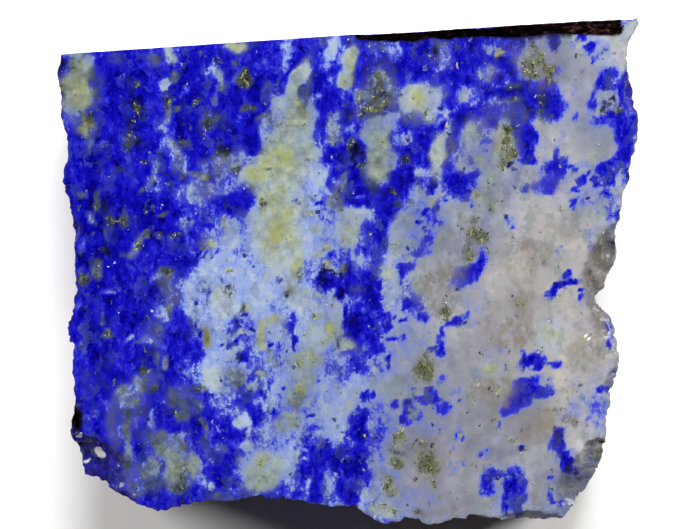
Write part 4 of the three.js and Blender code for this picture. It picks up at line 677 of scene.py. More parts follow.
# Grey, smoky calcite, clouded by fine dark dust.
SMOKE = [
    (10.0, -1.0, 2.6, 4.0, 0.7), (13.2, 3.6, 2.4, 2.0, 0.75, 10), (20.5, 1.8, 1.8, 1.6, 0.5),
    (17.6, 1.2, 1.6, 1.6, 0.3), (19.4, -2.8, 2.2, 1.4, 0.55, 80), (18.0, -7.0, 2.6, 1.6, 0.8, 5),
    (16.6, -4.4, 1.5, 1.6, 0.3), (24.6, 4.4, 1.2, 1.6, 0.45), (21.6, 9.8, 2.4, 0.7, 0.35),
    (16.2, 8.0, 2.2, 1.8, 0.45), (15.6, 16.2, 1.6, 0.9, 0.6), (17.0, 13.8, 1.9, 2.6, 0.6),
    (21.0, 23.2, 2.1, 2.8, 0.85, 10), (16.0, 21.8, 1.2, 1.2, 0.4), (14.4, 13.8, 2.2, 2.8, 0.5),
    (19.4, 10.0, 2.0, 1.4, 0.4), (22.8, 21.0, 1.4, 0.6, 0.5), (3.5, 19.8, 1.8, 1.9, 0.75),
    (2.0, 17.4, 1.6, 1.2, 0.6), (4.7, 18.2, 0.6, 1.0, 0.5), (10.4, 23.4, 0.9, 2.0, 0.4),
    (16.4, -13.2, 2.2, 2.2, 0.6), (15.6, -16.8, 1.2, 1.2, 0.65), (21.0, -17.4, 2.8, 2.2, 0.55),
    (24.6, -16.6, 1.4, 0.7, 0.6, -20), (27.4, -20.4, 0.9, 2.0, 0.4), (26.2, -22.6, 1.6, 1.1, 0.45),
    (24.6, -24.4, 1.9, 1.3, 0.45), (20.8, -25.2, 1.0, 1.6, 0.4), (26.6, -9.4, 2.0, 1.8, 0.6),
    (27.9, -5.0, 0.9, 1.6, 0.6), (28.6, 1.8, 1.4, 2.2, 0.95, 10), (27.2, -1.2, 1.0, 1.9, 0.9),
    (8.6, -21.2, 2.2, 2.6, 0.6), (8.4, -11.4, 1.4, 2.2, 0.5), (4.8, -24.0, 1.6, 0.9, 0.5, -50),
    (3.8, -26.4, 1.1, 0.8, 0.5), (7.9, -27.0, 1.0, 0.6, 0.6), (12.4, -20.6, 1.2, 1.0, 0.35),
    (13.9, -13.2, 0.9, 1.2, 0.45), (6.0, -19.6, 1.0, 2.4, 0.4), (-6.4, -2.7, 0.9, 1.5, 0.75),
    (-5.3, -0.6, 0.7, 0.8, 0.5), (-13.3, -2.4, 0.9, 1.2, 0.45), (-11.4, -4.4, 0.7, 0.5, 0.7),
    (-0.8, -8.0, 0.9, 1.4, 0.8, 20), (-1.0, 8.2, 0.9, 1.7, 0.65), (-9.4, 7.8, 0.6, 0.9, 0.5),
    (-13.6, 11.6, 2.2, 1.3, 0.5), (-16.2, 8.6, 2.0, 1.2, 0.5), (-15.6, 3.0, 1.0, 0.8, 0.5),
    (-20.2, -0.8, 1.2, 1.2, 0.6), (-19.3, -3.0, 1.0, 1.4, 0.5), (-24.2, -15.4, 2.2, 2.6, 0.5),
    (-22.2, -12.4, 1.2, 1.2, 0.6), (-18.7, -14.0, 1.6, 1.0, 0.5), (-19.0, -22.0, 2.4, 2.4, 0.35),
    (-24.0, -22.8, 1.6, 1.4, 0.6), (-20.8, -18.6, 1.8, 1.0, 0.5), (-25.8, -17.8, 0.8, 2.4, 0.5),
    (-9.0, -23.8, 0.9, 0.9, 0.5), (-29.2, 22.2, 1.0, 1.2, 0.4), (-3.3, -4.9, 0.9, 0.5, 0.6),
    (5.8, -14.2, 0.9, 0.5, 0.5), (19.6, -17.0, 1.0, 1.0, 0.3), (4.0, 20.9, 0.9, 1.2, 0.7),
    (3.7, 19.1, 1.1, 0.9, 0.85), (2.1, 17.8, 0.9, 0.6, 0.7, 20), (-7.6, 15.8, 1.0, 1.2, 0.4),
    (2.3, 16.0, 0.6, 0.8, 0.5), (0.2, 22.5, 0.5, 0.7, 0.3), (9.8, 24.0, 0.4, 0.7, 0.5),
    (22.2, 24.2, 0.7, 1.2, 0.5), (20.4, 22.6, 0.9, 1.5, 0.7), (28.8, 19.4, 0.8, 0.6, 0.2),
    (19.5, 16.6, 0.8, 0.7, 0.4), (-14.0, 11.6, 1.6, 1.0, 0.4), (-9.0, 11.4, 0.6, 0.3, 0.6, 30),
    (-8.6, 7.8, 0.5, 0.8, 0.4), (14.8, 5.8, 1.0, 0.9, 0.4), (12.8, 2.0, 0.8, 1.4, 0.5),
    (17.2, 3.6, 0.5, 0.35, 0.6, 20), (16.2, 12.0, 0.8, 1.6, 0.4), (15.0, 8.6, 1.0, 0.6, 0.5),
    (19.8, 10.7, 0.7, 0.5, 0.5), (10.2, 0.4, 0.6, 0.6, 0.4), (10.6, 1.8, 0.8, 1.0, 0.2),
    (20.2, 10.7, 0.9, 0.5, 0.5), (25.0, 5.6, 0.6, 0.9, 0.45), (29.9, 8.6, 0.3, 0.6, 0.6),
    (21.8, 1.6, 0.9, 1.0, 0.5), (28.8, 3.2, 0.5, 0.5, 0.7), (20.2, 0.4, 0.8, 0.8, 0.4),
    (-13.5, -1.8, 0.3, 0.7, 0.5, -20), (-13.6, -4.4, 0.8, 0.9, 0.35), (-12.9, -5.0, 0.6, 0.3, 0.5),
    (-10.6, -13.4, 0.5, 0.5, 0.6), (-7.6, -5.6, 0.5, 0.4, 0.3), (-2.0, -5.3, 0.8, 0.5, 0.35),
    (-0.5, -7.9, 0.8, 0.9, 0.6), (-3.2, -10.1, 0.7, 0.6, 0.45), (3.4, -10.8, 0.5, 0.7, 0.4),
    (5.8, -12.0, 0.9, 0.4, 0.4), (-6.5, -3.4, 0.4, 0.5, 0.4), (1.0, -1.9, 0.7, 0.5, 0.4),
    (16.3, -5.6, 0.9, 0.3, 0.4), (17.8, -7.6, 0.5, 0.3, 0.5), (17.6, -13.4, 0.4, 1.6, 0.7),
    (16.0, -14.0, 0.9, 0.9, 0.4), (12.6, -11.5, 0.3, 0.2, 0.4), (8.0, -11.6, 0.9, 1.0, 0.5),
    (26.4, -10.0, 0.9, 0.7, 0.5), (26.3, -7.6, 0.5, 0.3, 0.5), (26.9, -2.4, 0.7, 1.2, 0.7),
    (27.4, -5.6, 0.5, 0.8, 0.5), (21.9, -15.4, 0.6, 0.2, 0.6), (24.8, -13.2, 0.9, 0.6, 0.4),
    (19.4, -5.4, 1.2, 1.2, 0.35), (24.4, -10.5, 0.3, 0.3, 0.4), (-9.0, -23.4, 0.5, 0.5, 0.5),
    (-10.8, -22.6, 1.0, 1.0, 0.3), (-11.0, -18.4, 0.6, 0.2, 0.5), (11.5, -20.2, 0.3, 0.3, 0.7),
    (13.6, -21.4, 0.3, 0.25, 0.7), (11.2, -24.7, 0.18, 0.35, 0.6), (18.8, -17.2, 1.0, 0.7, 0.45),
    (14.2, -18.4, 0.3, 0.4, 0.4), (14.2, -16.2, 0.9, 0.6, 0.3), (9.9, -20.4, 0.8, 0.8, 0.4),
    (25.0, -17.2, 0.5, 0.2, 0.6), (21.1, -24.8, 0.4, 0.8, 0.4), (8.6, -21.0, 1.5, 2.0, 0.5),
    (20.0, 24.6, 3.2, 1.4, 0.35), (24.0, 25.2, 1.6, 0.8, 0.3), (12.4, 3.2, 2.2, 1.6, 0.35),
    (10.6, -3.0, 1.4, 1.4, 0.4), (7.2, -15.0, 2.4, 2.0, 0.25), (3.6, 21.0, 1.6, 2.2, 0.4),
    (17.6, -6.6, 1.8, 0.9, 0.35), (23.0, 9.6, 1.6, 1.0, 0.25), (27.0, -3.2, 0.9, 1.6, 0.3),
    (7.0, -22.4, 1.4, 2.4, 0.25), (23.4, -22.8, 1.2, 1.0, 0.25), (18.9, -17.6, 1.4, 1.2, 0.25),
    (14.6, -16.4, 1.2, 1.8, 0.25), (3.2, -20.0, 0.8, 2.4, 0.25), (11.6, 12.6, 2.0, 1.2, 0.25),
    (15.2, 12.6, 1.6, 1.6, 0.3), (7.0, 17.0, 1.4, 1.2, 0.25), (17.4, 17.4, 2.4, 1.6, 0.3),
    (11.0, -3.2, 1.6, 1.6, 0.5), (11.4, 13.0, 1.8, 1.4, 0.4), (15.0, 13.2, 1.4, 1.4, 0.4),
    (8.4, 1.4, 1.6, 1.4, 0.3), (11.0, -26.6, 2.4, 0.8, 0.5), (-5.6, -14.2, 0.8, 1.2, 0.4),
    (-2.2, 25.6, 0.5, 0.3, 0.3),
]

# Rust, which stains cool calcite yellow-green and warm calcite a greyish beige.
RUST = [
    (-31.2, 20.6, 0.6, 0.8, 0.7), (-28.6, 15.8, 0.9, 0.8, 0.5), (-7.0, 12.2, 2.0, 1.1, 0.6, 10),
    (-9.9, 10.6, 1.0, 0.8, 0.9), (-7.8, 4.0, 1.2, 1.4, 0.55), (-6.8, 6.2, 0.8, 0.8, 0.5),
    (-5.3, 1.0, 1.3, 0.6, 0.65, 80), (-6.4, 3.0, 1.4, 1.6, 0.3), (-7.2, 9.0, 1.2, 1.6, 0.35),
    (0.4, 4.0, 0.7, 0.8, 0.7), (1.0, 5.2, 0.8, 0.7, 0.35), (-9.7, -7.2, 1.4, 0.4, 0.6, 80),
    (-8.6, -5.7, 1.1, 0.35, 0.95, 5), (-7.3, -5.6, 0.6, 0.5, 0.4),
    (-15.3, -7.6, 1.1, 0.5, 0.75, 88), (-1.7, -6.3, 0.8, 0.7, 0.7), (-5.2, -13.4, 0.9, 0.9, 0.6),
    (-4.6, -9.6, 1.3, 0.6, 0.4), (-5.2, -0.6, 0.8, 0.8, 0.4), (-9.7, -21.2, 0.6, 0.45, 0.9),
    (-12.4, 24.6, 1.2, 0.7, 0.5), (0.5, 21.8, 0.4, 1.4, 0.5, 10), (3.8, 21.6, 0.5, 0.6, 0.7),
    (8.0, 19.4, 0.5, 0.8, 0.5), (9.5, 7.3, 0.8, 0.4, 0.6, 20), (0.5, 23.4, 0.7, 0.9, 0.3),
    (10.2, -1.6, 2.4, 3.4, 0.25), (13.4, 3.8, 1.8, 1.2, 0.35), (19.6, -3.4, 0.9, 1.2, 0.65),
    (19.0, -1.0, 1.6, 1.6, 0.25), (18.2, -7.0, 2.0, 1.4, 0.3), (20.4, -17.2, 2.4, 1.8, 0.3),
    (22.2, -16.4, 0.7, 1.6, 0.6), (22.2, -7.4, 0.8, 1.0, 0.3), (21.6, 5.4, 2.4, 3.2, 0.22),
    (26.2, 19.4, 1.4, 2.2, 0.2), (22.0, 13.2, 0.7, 1.0, 0.25), (30.4, 25.4, 1.6, 2.4, 0.2),
    (16.8, 14.0, 1.0, 1.6, 0.35), (21.6, 23.8, 1.2, 1.4, 0.25), (15.8, -11.0, 0.7, 0.45, 0.5),
    (6.8, -14.1, 0.35, 0.35, 0.9), (24.6, -24.4, 1.6, 1.0, 0.35), (27.2, -7.4, 0.9, 0.9, 0.4),
    (-19.0, -22.4, 1.4, 1.4, 0.25), (16.9, 24.1, 0.5, 0.4, 0.4), (24.8, -6.0, 2.0, 1.6, 0.12),
    (9.2, -21.6, 1.4, 1.6, 0.25), (28.0, -19.4, 0.8, 1.6, 0.4), (20.6, -24.6, 1.0, 2.0, 0.2),
    (-31.4, 20.4, 0.45, 0.6, 0.6), (-9.1, 16.3, 0.35, 0.7, 0.35), (-5.2, 17.4, 0.5, 1.2, 0.45),
    (-0.2, 20.4, 0.6, 0.4, 0.6), (3.0, 17.7, 0.6, 0.4, 0.3), (7.9, 19.3, 0.5, 0.9, 0.6),
    (16.9, 24.1, 0.45, 0.35, 0.7), (-10.2, 10.3, 0.6, 0.7, 0.8), (-7.0, 11.7, 0.9, 0.6, 0.6),
    (-6.8, 5.5, 0.6, 0.5, 0.7), (-7.8, 3.4, 0.7, 0.9, 0.7), (-8.2, 7.4, 0.4, 0.5, 0.5),
    (-8.4, 6.1, 0.5, 0.6, 0.4), (-15.8, 10.1, 0.3, 0.4, 0.4), (0.3, 3.7, 0.7, 0.5, 0.5, 30),
    (-5.8, 0.3, 0.6, 0.4, 0.5), (-5.2, 1.8, 0.4, 0.7, 0.3), (-9.8, -7.0, 0.3, 0.9, 0.8, 8),
    (-8.8, -5.6, 0.9, 0.25, 0.9, 20), (-15.3, -7.8, 0.35, 0.6, 0.6), (-11.0, -4.0, 0.35, 0.2, 0.5),
    (-4.1, -2.6, 0.6, 0.35, 0.5, -30), (-5.0, -10.0, 0.9, 0.4, 0.35), (-5.5, -14.0, 0.4, 0.8, 0.35),
    (19.4, -3.8, 0.4, 0.5, 0.4), (-9.2, -20.6, 1.0, 0.4, 0.3), (-8.9, -23.5, 0.2, 0.15, 0.6),
    (-15.6, -17.8, 0.25, 0.7, 0.4), (-29.4, 19.2, 1.4, 3.4, 0.4), (7.4, 17.4, 1.4, 1.4, 0.3),
    (22.5, -7.2, 1.2, 1.0, 0.4), (15.6, -11.1, 0.8, 0.6, 0.5),
]

# Where the calcite is warm and milky instead of cool and glassy.
WARMTH = [
    (21.0, -6.0, 15.5, 24.0, 1.0, -8), (24.0, 18.0, 10.0, 10.0, 0.8), (14.0, 14.0, 5.0, 8.0, 0.6),
    (10.0, -22.0, 6.0, 9.0, 1.0), (22.5, -7.2, 1.6, 1.6, 0.2), (15.6, -11.1, 1.0, 0.8, 0.1),
]

# Clear calcite, which looks grey and lavender because the rock under it shows through.
CLEAR = [
    # The foot of the slab, right of the middle.
    (6.0, -17.0, 4.0, 6.0, 1.0), (6.6, -17.5, 1.8, 3.5, 1.0), (12.0, -15.5, 4.0, 6.0, 0.8),
    (11.0, -25.5, 5.0, 3.0, 0.75), (16.0, -19.0, 3.0, 4.0, 0.7), (19.4, -15.6, 3.0, 3.4, 0.8),
    (22.5, -20.0, 2.6, 2.4, 0.5), (16.0, -24.5, 3.6, 3.0, 0.6), (23.5, -25.5, 3.6, 2.6, 0.6),
    (6.6, -9.0, 3.0, 4.0, 0.75), (15.5, -8.0, 4.5, 4.0, 0.45), (27.5, -3.0, 1.6, 3.0, 0.3),
    # The middle of the right half.
    (8.4, 4.6, 3.4, 4.0, 1.0), (13.4, 3.0, 3.4, 4.4, 0.75), (14.6, 9.0, 3.0, 3.6, 0.7),
    (11.5, -2.0, 3.0, 3.0, 0.45), (19.4, -4.0, 2.6, 3.0, 0.35), (22.6, 1.0, 2.0, 1.6, 0.35),
    (1.6, 5.0, 3.4, 3.0, 0.6), (5.0, -12.0, 2.4, 3.0, 0.6),
    # The top right.
    (22.8, 22.4, 3.4, 3.6, 0.85), (26.6, 19.6, 2.6, 3.0, 0.7), (28.0, 14.6, 3.0, 2.6, 0.75),
    (15.6, 13.2, 3.0, 2.6, 0.8), (19.4, 13.6, 2.0, 3.0, 0.5), (22.6, 16.8, 2.4, 2.0, 0.4),
    (16.5, 23.0, 2.6, 2.6, 0.6), (18.4, 19.0, 2.2, 2.6, 0.5),
    # Small patches all over the slab.
    (2.6, 17.0, 3.4, 4.6, 0.9), (4.0, 12.0, 2.6, 3.0, 0.9), (-5.4, 17.0, 2.6, 4.0, 0.75),
    (-9.6, 13.0, 3.4, 2.6, 0.55), (-5.4, 12.6, 3.0, 2.2, 0.5), (-14.0, 13.6, 2.4, 2.2, 0.5),
    (-9.0, 5.0, 2.6, 3.4, 0.5), (-13.0, 5.0, 2.6, 1.6, 0.4), (-1.6, 3.6, 2.4, 3.4, 0.5),
    (-1.6, -6.4, 2.4, 3.6, 0.55), (-5.4, -10.0, 3.0, 3.4, 0.45), (-10.0, -7.0, 2.6, 2.0, 0.4),
    (-3.0, -15.0, 3.0, 3.4, 0.5), (-9.4, -21.8, 2.6, 2.8, 0.5), (-21.0, -3.0, 2.4, 1.6, 0.6),
    (-29.4, 19.6, 2.8, 4.4, 0.65), (-20.6, -17.0, 4.0, 5.0, 0.3), (-12.6, -26.0, 3.0, 2.0, 0.4),
    (26.6, 8.0, 1.8, 2.4, 0.55), (24.2, 9.8, 1.6, 1.2, 0.4), (19.4, 10.6, 1.6, 1.0, 0.45),
    (24.8, 5.2, 1.0, 1.6, 0.4), (20.6, 8.2, 1.2, 0.9, 0.4), (-14.6, 9.2, 3.6, 2.6, 0.45),
    (7.0, -21.0, 3.4, 4.0, 0.8), (24.5, -23.5, 3.0, 2.5, 0.8), (3.0, 21.5, 2.6, 2.6, 0.7),
    (-19.0, -21.4, 3.0, 2.8, 1.0), (-9.6, -22.0, 2.8, 2.6, 0.6), (-5.4, -13.8, 1.8, 2.4, 1.0),
    (-4.4, -10.0, 2.4, 1.8, 0.8), (-12.3, -12.2, 1.4, 1.8, 1.0), (-15.4, -7.4, 0.8, 1.4, 1.0),
    (-9.2, -7.2, 1.4, 1.6, 0.5), (-29.6, 19.4, 2.2, 4.0, 1.0), (-24.2, -18.4, 1.2, 3.2, 1.0),
    (-7.0, -16.8, 1.4, 1.6, 0.9),
]

# Pyrite: brassy grains, in clusters and strings.
PYRITE = [
    (-23.4, 17.6, 0.6, 0.3, 0.85, 90), (-24.3, 14.2, 1.1, 0.65, 0.5, 80),
    (-23.0, 20.3, 0.35, 0.35, 0.9), (-24.0, 15.9, 0.5, 0.35, 0.35), (-22.4, 11.7, 0.5, 0.4, 0.8),
    (-19.8, 18.2, 0.7, 0.5, 0.7, 90), (-18.1, 14.0, 0.6, 0.35, 0.5), (-15.1, 16.7, 0.8, 0.7, 0.45),
    (-15.4, 16.0, 0.5, 0.4, 0.8), (-11.3, 21.1, 0.75, 0.9, 0.8), (-13.8, 13.1, 0.6, 0.5, 0.45),
    (-10.8, 17.7, 0.8, 0.35, 0.8), (-16.4, 18.4, 0.35, 0.35, 0.9), (-14.2, 23.1, 0.4, 0.4, 0.7),
    (-27.5, 7.9, 0.3, 0.9, 0.55), (-21.9, 4.1, 0.35, 0.35, 0.6), (-20.5, 4.0, 0.3, 0.25, 0.7),
    (-19.2, 3.9, 0.4, 0.3, 0.9), (-26.9, 2.1, 0.5, 0.4, 0.6), (-26.1, 5.4, 0.5, 0.5, 0.6),
    (-24.5, 5.4, 0.7, 0.5, 0.5), (-23.0, 2.6, 0.4, 0.5, 0.6), (-29.0, -1.1, 0.6, 0.5, 0.7),
    (-20.1, 0.0, 0.8, 0.5, 0.6), (-19.5, -4.6, 0.4, 0.5, 0.3), (-26.7, -7.1, 0.35, 0.25, 0.6),
    (-29.8, 18.3, 0.5, 0.9, 0.25), (-28.2, 16.5, 0.35, 0.4, 0.6), (-11.3, -4.3, 0.35, 0.3, 0.4),
    (-13.2, -2.3, 0.8, 1.0, 0.35), (-15.2, -7.7, 0.25, 0.5, 0.45), (-22.5, -11.2, 0.25, 0.3, 0.8),
    (-21.2, -13.2, 0.5, 0.4, 0.6), (-16.3, -13.0, 0.5, 0.4, 0.7), (-19.2, -15.6, 0.6, 0.4, 0.5),
    (-18.6, -24.0, 0.6, 0.4, 0.7), (-18.2, -22.0, 0.5, 1.2, 0.25), (-24.0, -21.4, 0.6, 0.6, 0.3),
    (-23.4, -24.2, 0.5, 0.5, 0.3, -20), (3.6, 21.0, 0.68, 1.02, 0.42), (3.4, 18.8, 1.02, 0.85, 0.3),
    (1.5, 18.9, 0.68, 0.85, 0.48), (2.7, 17.9, 0.85, 0.42, 0.48), (4.7, 18.3, 0.42, 0.85, 0.42),
    (1.6, 16.8, 0.68, 0.51, 0.48, -40), (0.5, 13.8, 0.45, 0.5, 0.7), (8.9, 17.0, 0.4, 0.7, 0.35),
    (-1.2, 14.2, 0.8, 0.4, 0.6), (1.5, 11.5, 0.4, 0.3, 0.6), (6.5, 11.8, 0.5, 0.7, 0.35),
    (9.8, 24.2, 0.35, 0.5, 0.3), (-7.2, 16.0, 1.4, 0.8, 0.2), (-9.3, 7.3, 0.4, 0.4, 0.4),
    (-1.2, 8.4, 0.3, 0.5, 0.5), (-0.9, 6.7, 0.35, 0.3, 0.6), (5.0, 8.6, 0.5, 0.28, 0.9, -45),
    (-2.2, 0.2, 0.4, 0.35, 0.35), (-0.6, 0.2, 0.5, 0.4, 0.6), (-2.3, 2.5, 0.3, 0.3, 0.3),
    (-6.4, -2.6, 0.4, 0.7, 0.25), (-5.0, -0.8, 0.3, 0.5, 0.4), (-3.6, -4.9, 0.45, 0.3, 0.45, 30),
    (-0.9, -8.3, 0.4, 0.6, 0.5), (-5.0, -9.9, 1.0, 0.5, 0.2), (-5.6, -13.9, 0.6, 0.9, 0.25),
    (-5.8, -17.0, 0.5, 0.5, 0.4), (14.4, 3.6, 1.1, 0.65, 0.9, -20), (13.5, 1.8, 0.5, 1.0, 0.6),
    (12.6, 4.2, 0.3, 0.2, 0.5), (14.1, 5.2, 0.5, 0.3, 0.6), (11.0, -4.9, 0.55, 0.75, 0.85),
    (8.6, -11.0, 0.8, 1.4, 0.85), (7.9, -13.6, 0.35, 0.2, 0.5), (5.9, -18.7, 0.8, 0.65, 0.9, 40),
    (5.4, -21.4, 0.65, 0.6, 0.85), (4.3, -23.5, 0.5, 0.6, 0.6, -50), (5.1, -24.5, 0.4, 0.5, 0.4),
    (3.7, -26.3, 0.7, 0.5, 0.35), (8.8, -21.6, 1.0, 1.1, 0.75), (8.6, -19.4, 0.9, 0.4, 0.45),
    (7.9, -23.2, 0.4, 0.25, 0.45), (9.5, -23.7, 0.3, 0.3, 0.5), (7.9, -26.8, 0.6, 0.3, 0.4),
    (9.9, -21.8, 0.5, 0.6, 0.5), (20.8, 24.4, 0.7, 0.4, 0.95, -60),
    (21.3, 23.2, 0.8, 0.4, 0.97, -65), (21.7, 22.5, 0.5, 0.5, 0.9),
    (22.3, 21.5, 0.9, 0.45, 0.95, 88), (20.5, 21.3, 0.8, 0.6, 0.8, -20),
    (19.7, 21.9, 0.5, 0.5, 0.8), (22.9, 20.8, 0.5, 0.4, 0.6), (21.5, 19.2, 0.6, 0.3, 0.6, 90),
    (21.5, 17.0, 0.9, 0.3, 0.6, 88), (18.1, 18.6, 0.5, 0.3, 0.5), (20.4, 22.8, 0.8, 1.0, 0.45),
    (17.8, 15.5, 1.0, 0.55, 0.9), (17.8, 13.6, 0.6, 1.2, 0.85), (17.1, 11.8, 0.35, 0.6, 0.8),
    (16.4, 15.8, 0.6, 0.4, 0.5), (19.4, -3.7, 0.3, 0.35, 0.45), (18.7, -6.6, 0.3, 0.2, 0.4),
    (15.9, 7.0, 0.4, 0.3, 0.3), (14.5, 8.4, 0.4, 0.35, 0.45), (25.5, 4.2, 0.25, 0.2, 0.35),
    (21.8, 1.0, 0.3, 0.2, 0.35), (26.8, -7.3, 0.4, 0.3, 0.4, -30),
    (18.2, -18.8, 0.6, 0.3, 0.55, -10), (19.8, -20.3, 0.3, 0.2, 0.4), (14.1, -13.9, 0.3, 0.7, 0.3),
    (15.8, -16.6, 0.5, 0.4, 0.15), (16.3, -13.6, 0.8, 1.1, 0.15), (29.9, 17.5, 0.3, 0.3, 0.7),
    (12.6, -18.4, 0.4, 0.4, 0.4), (22.6, -15.6, 0.9, 0.3, 0.35, -10),
    (24.6, -16.8, 0.8, 0.3, 0.4, 10), (-24.9, 21.5, 0.35, 0.2, 0.5, 30),
    (-28.1, 16.9, 0.25, 0.25, 0.7), (-29.6, 22.8, 0.3, 0.3, 0.5), (-22.0, 11.8, 0.6, 0.25, 0.5, 10),
    (-26.4, 14.0, 0.35, 0.25, 0.4), (21.5, 19.3, 0.3, 0.4, 0.6), (21.6, 16.6, 0.25, 0.3, 0.7),
    (19.9, 21.6, 0.6, 0.4, 0.6), (-18.1, 10.1, 0.4, 0.3, 0.5), (-15.3, 8.9, 0.3, 0.2, 0.4),
    (-12.4, 10.9, 0.4, 0.4, 0.3), (17.9, 12.8, 0.5, 0.8, 0.95), (15.8, 9.8, 0.4, 0.5, 0.3),
    (13.7, 0.9, 0.2, 0.3, 0.8), (11.5, -2.9, 0.4, 0.2, 0.45), (-22.4, -19.9, 0.3, 0.5, 0.3),
    (-19.5, -17.9, 0.5, 0.15, 0.3), (-18.7, -23.7, 0.5, 0.3, 0.4),
]

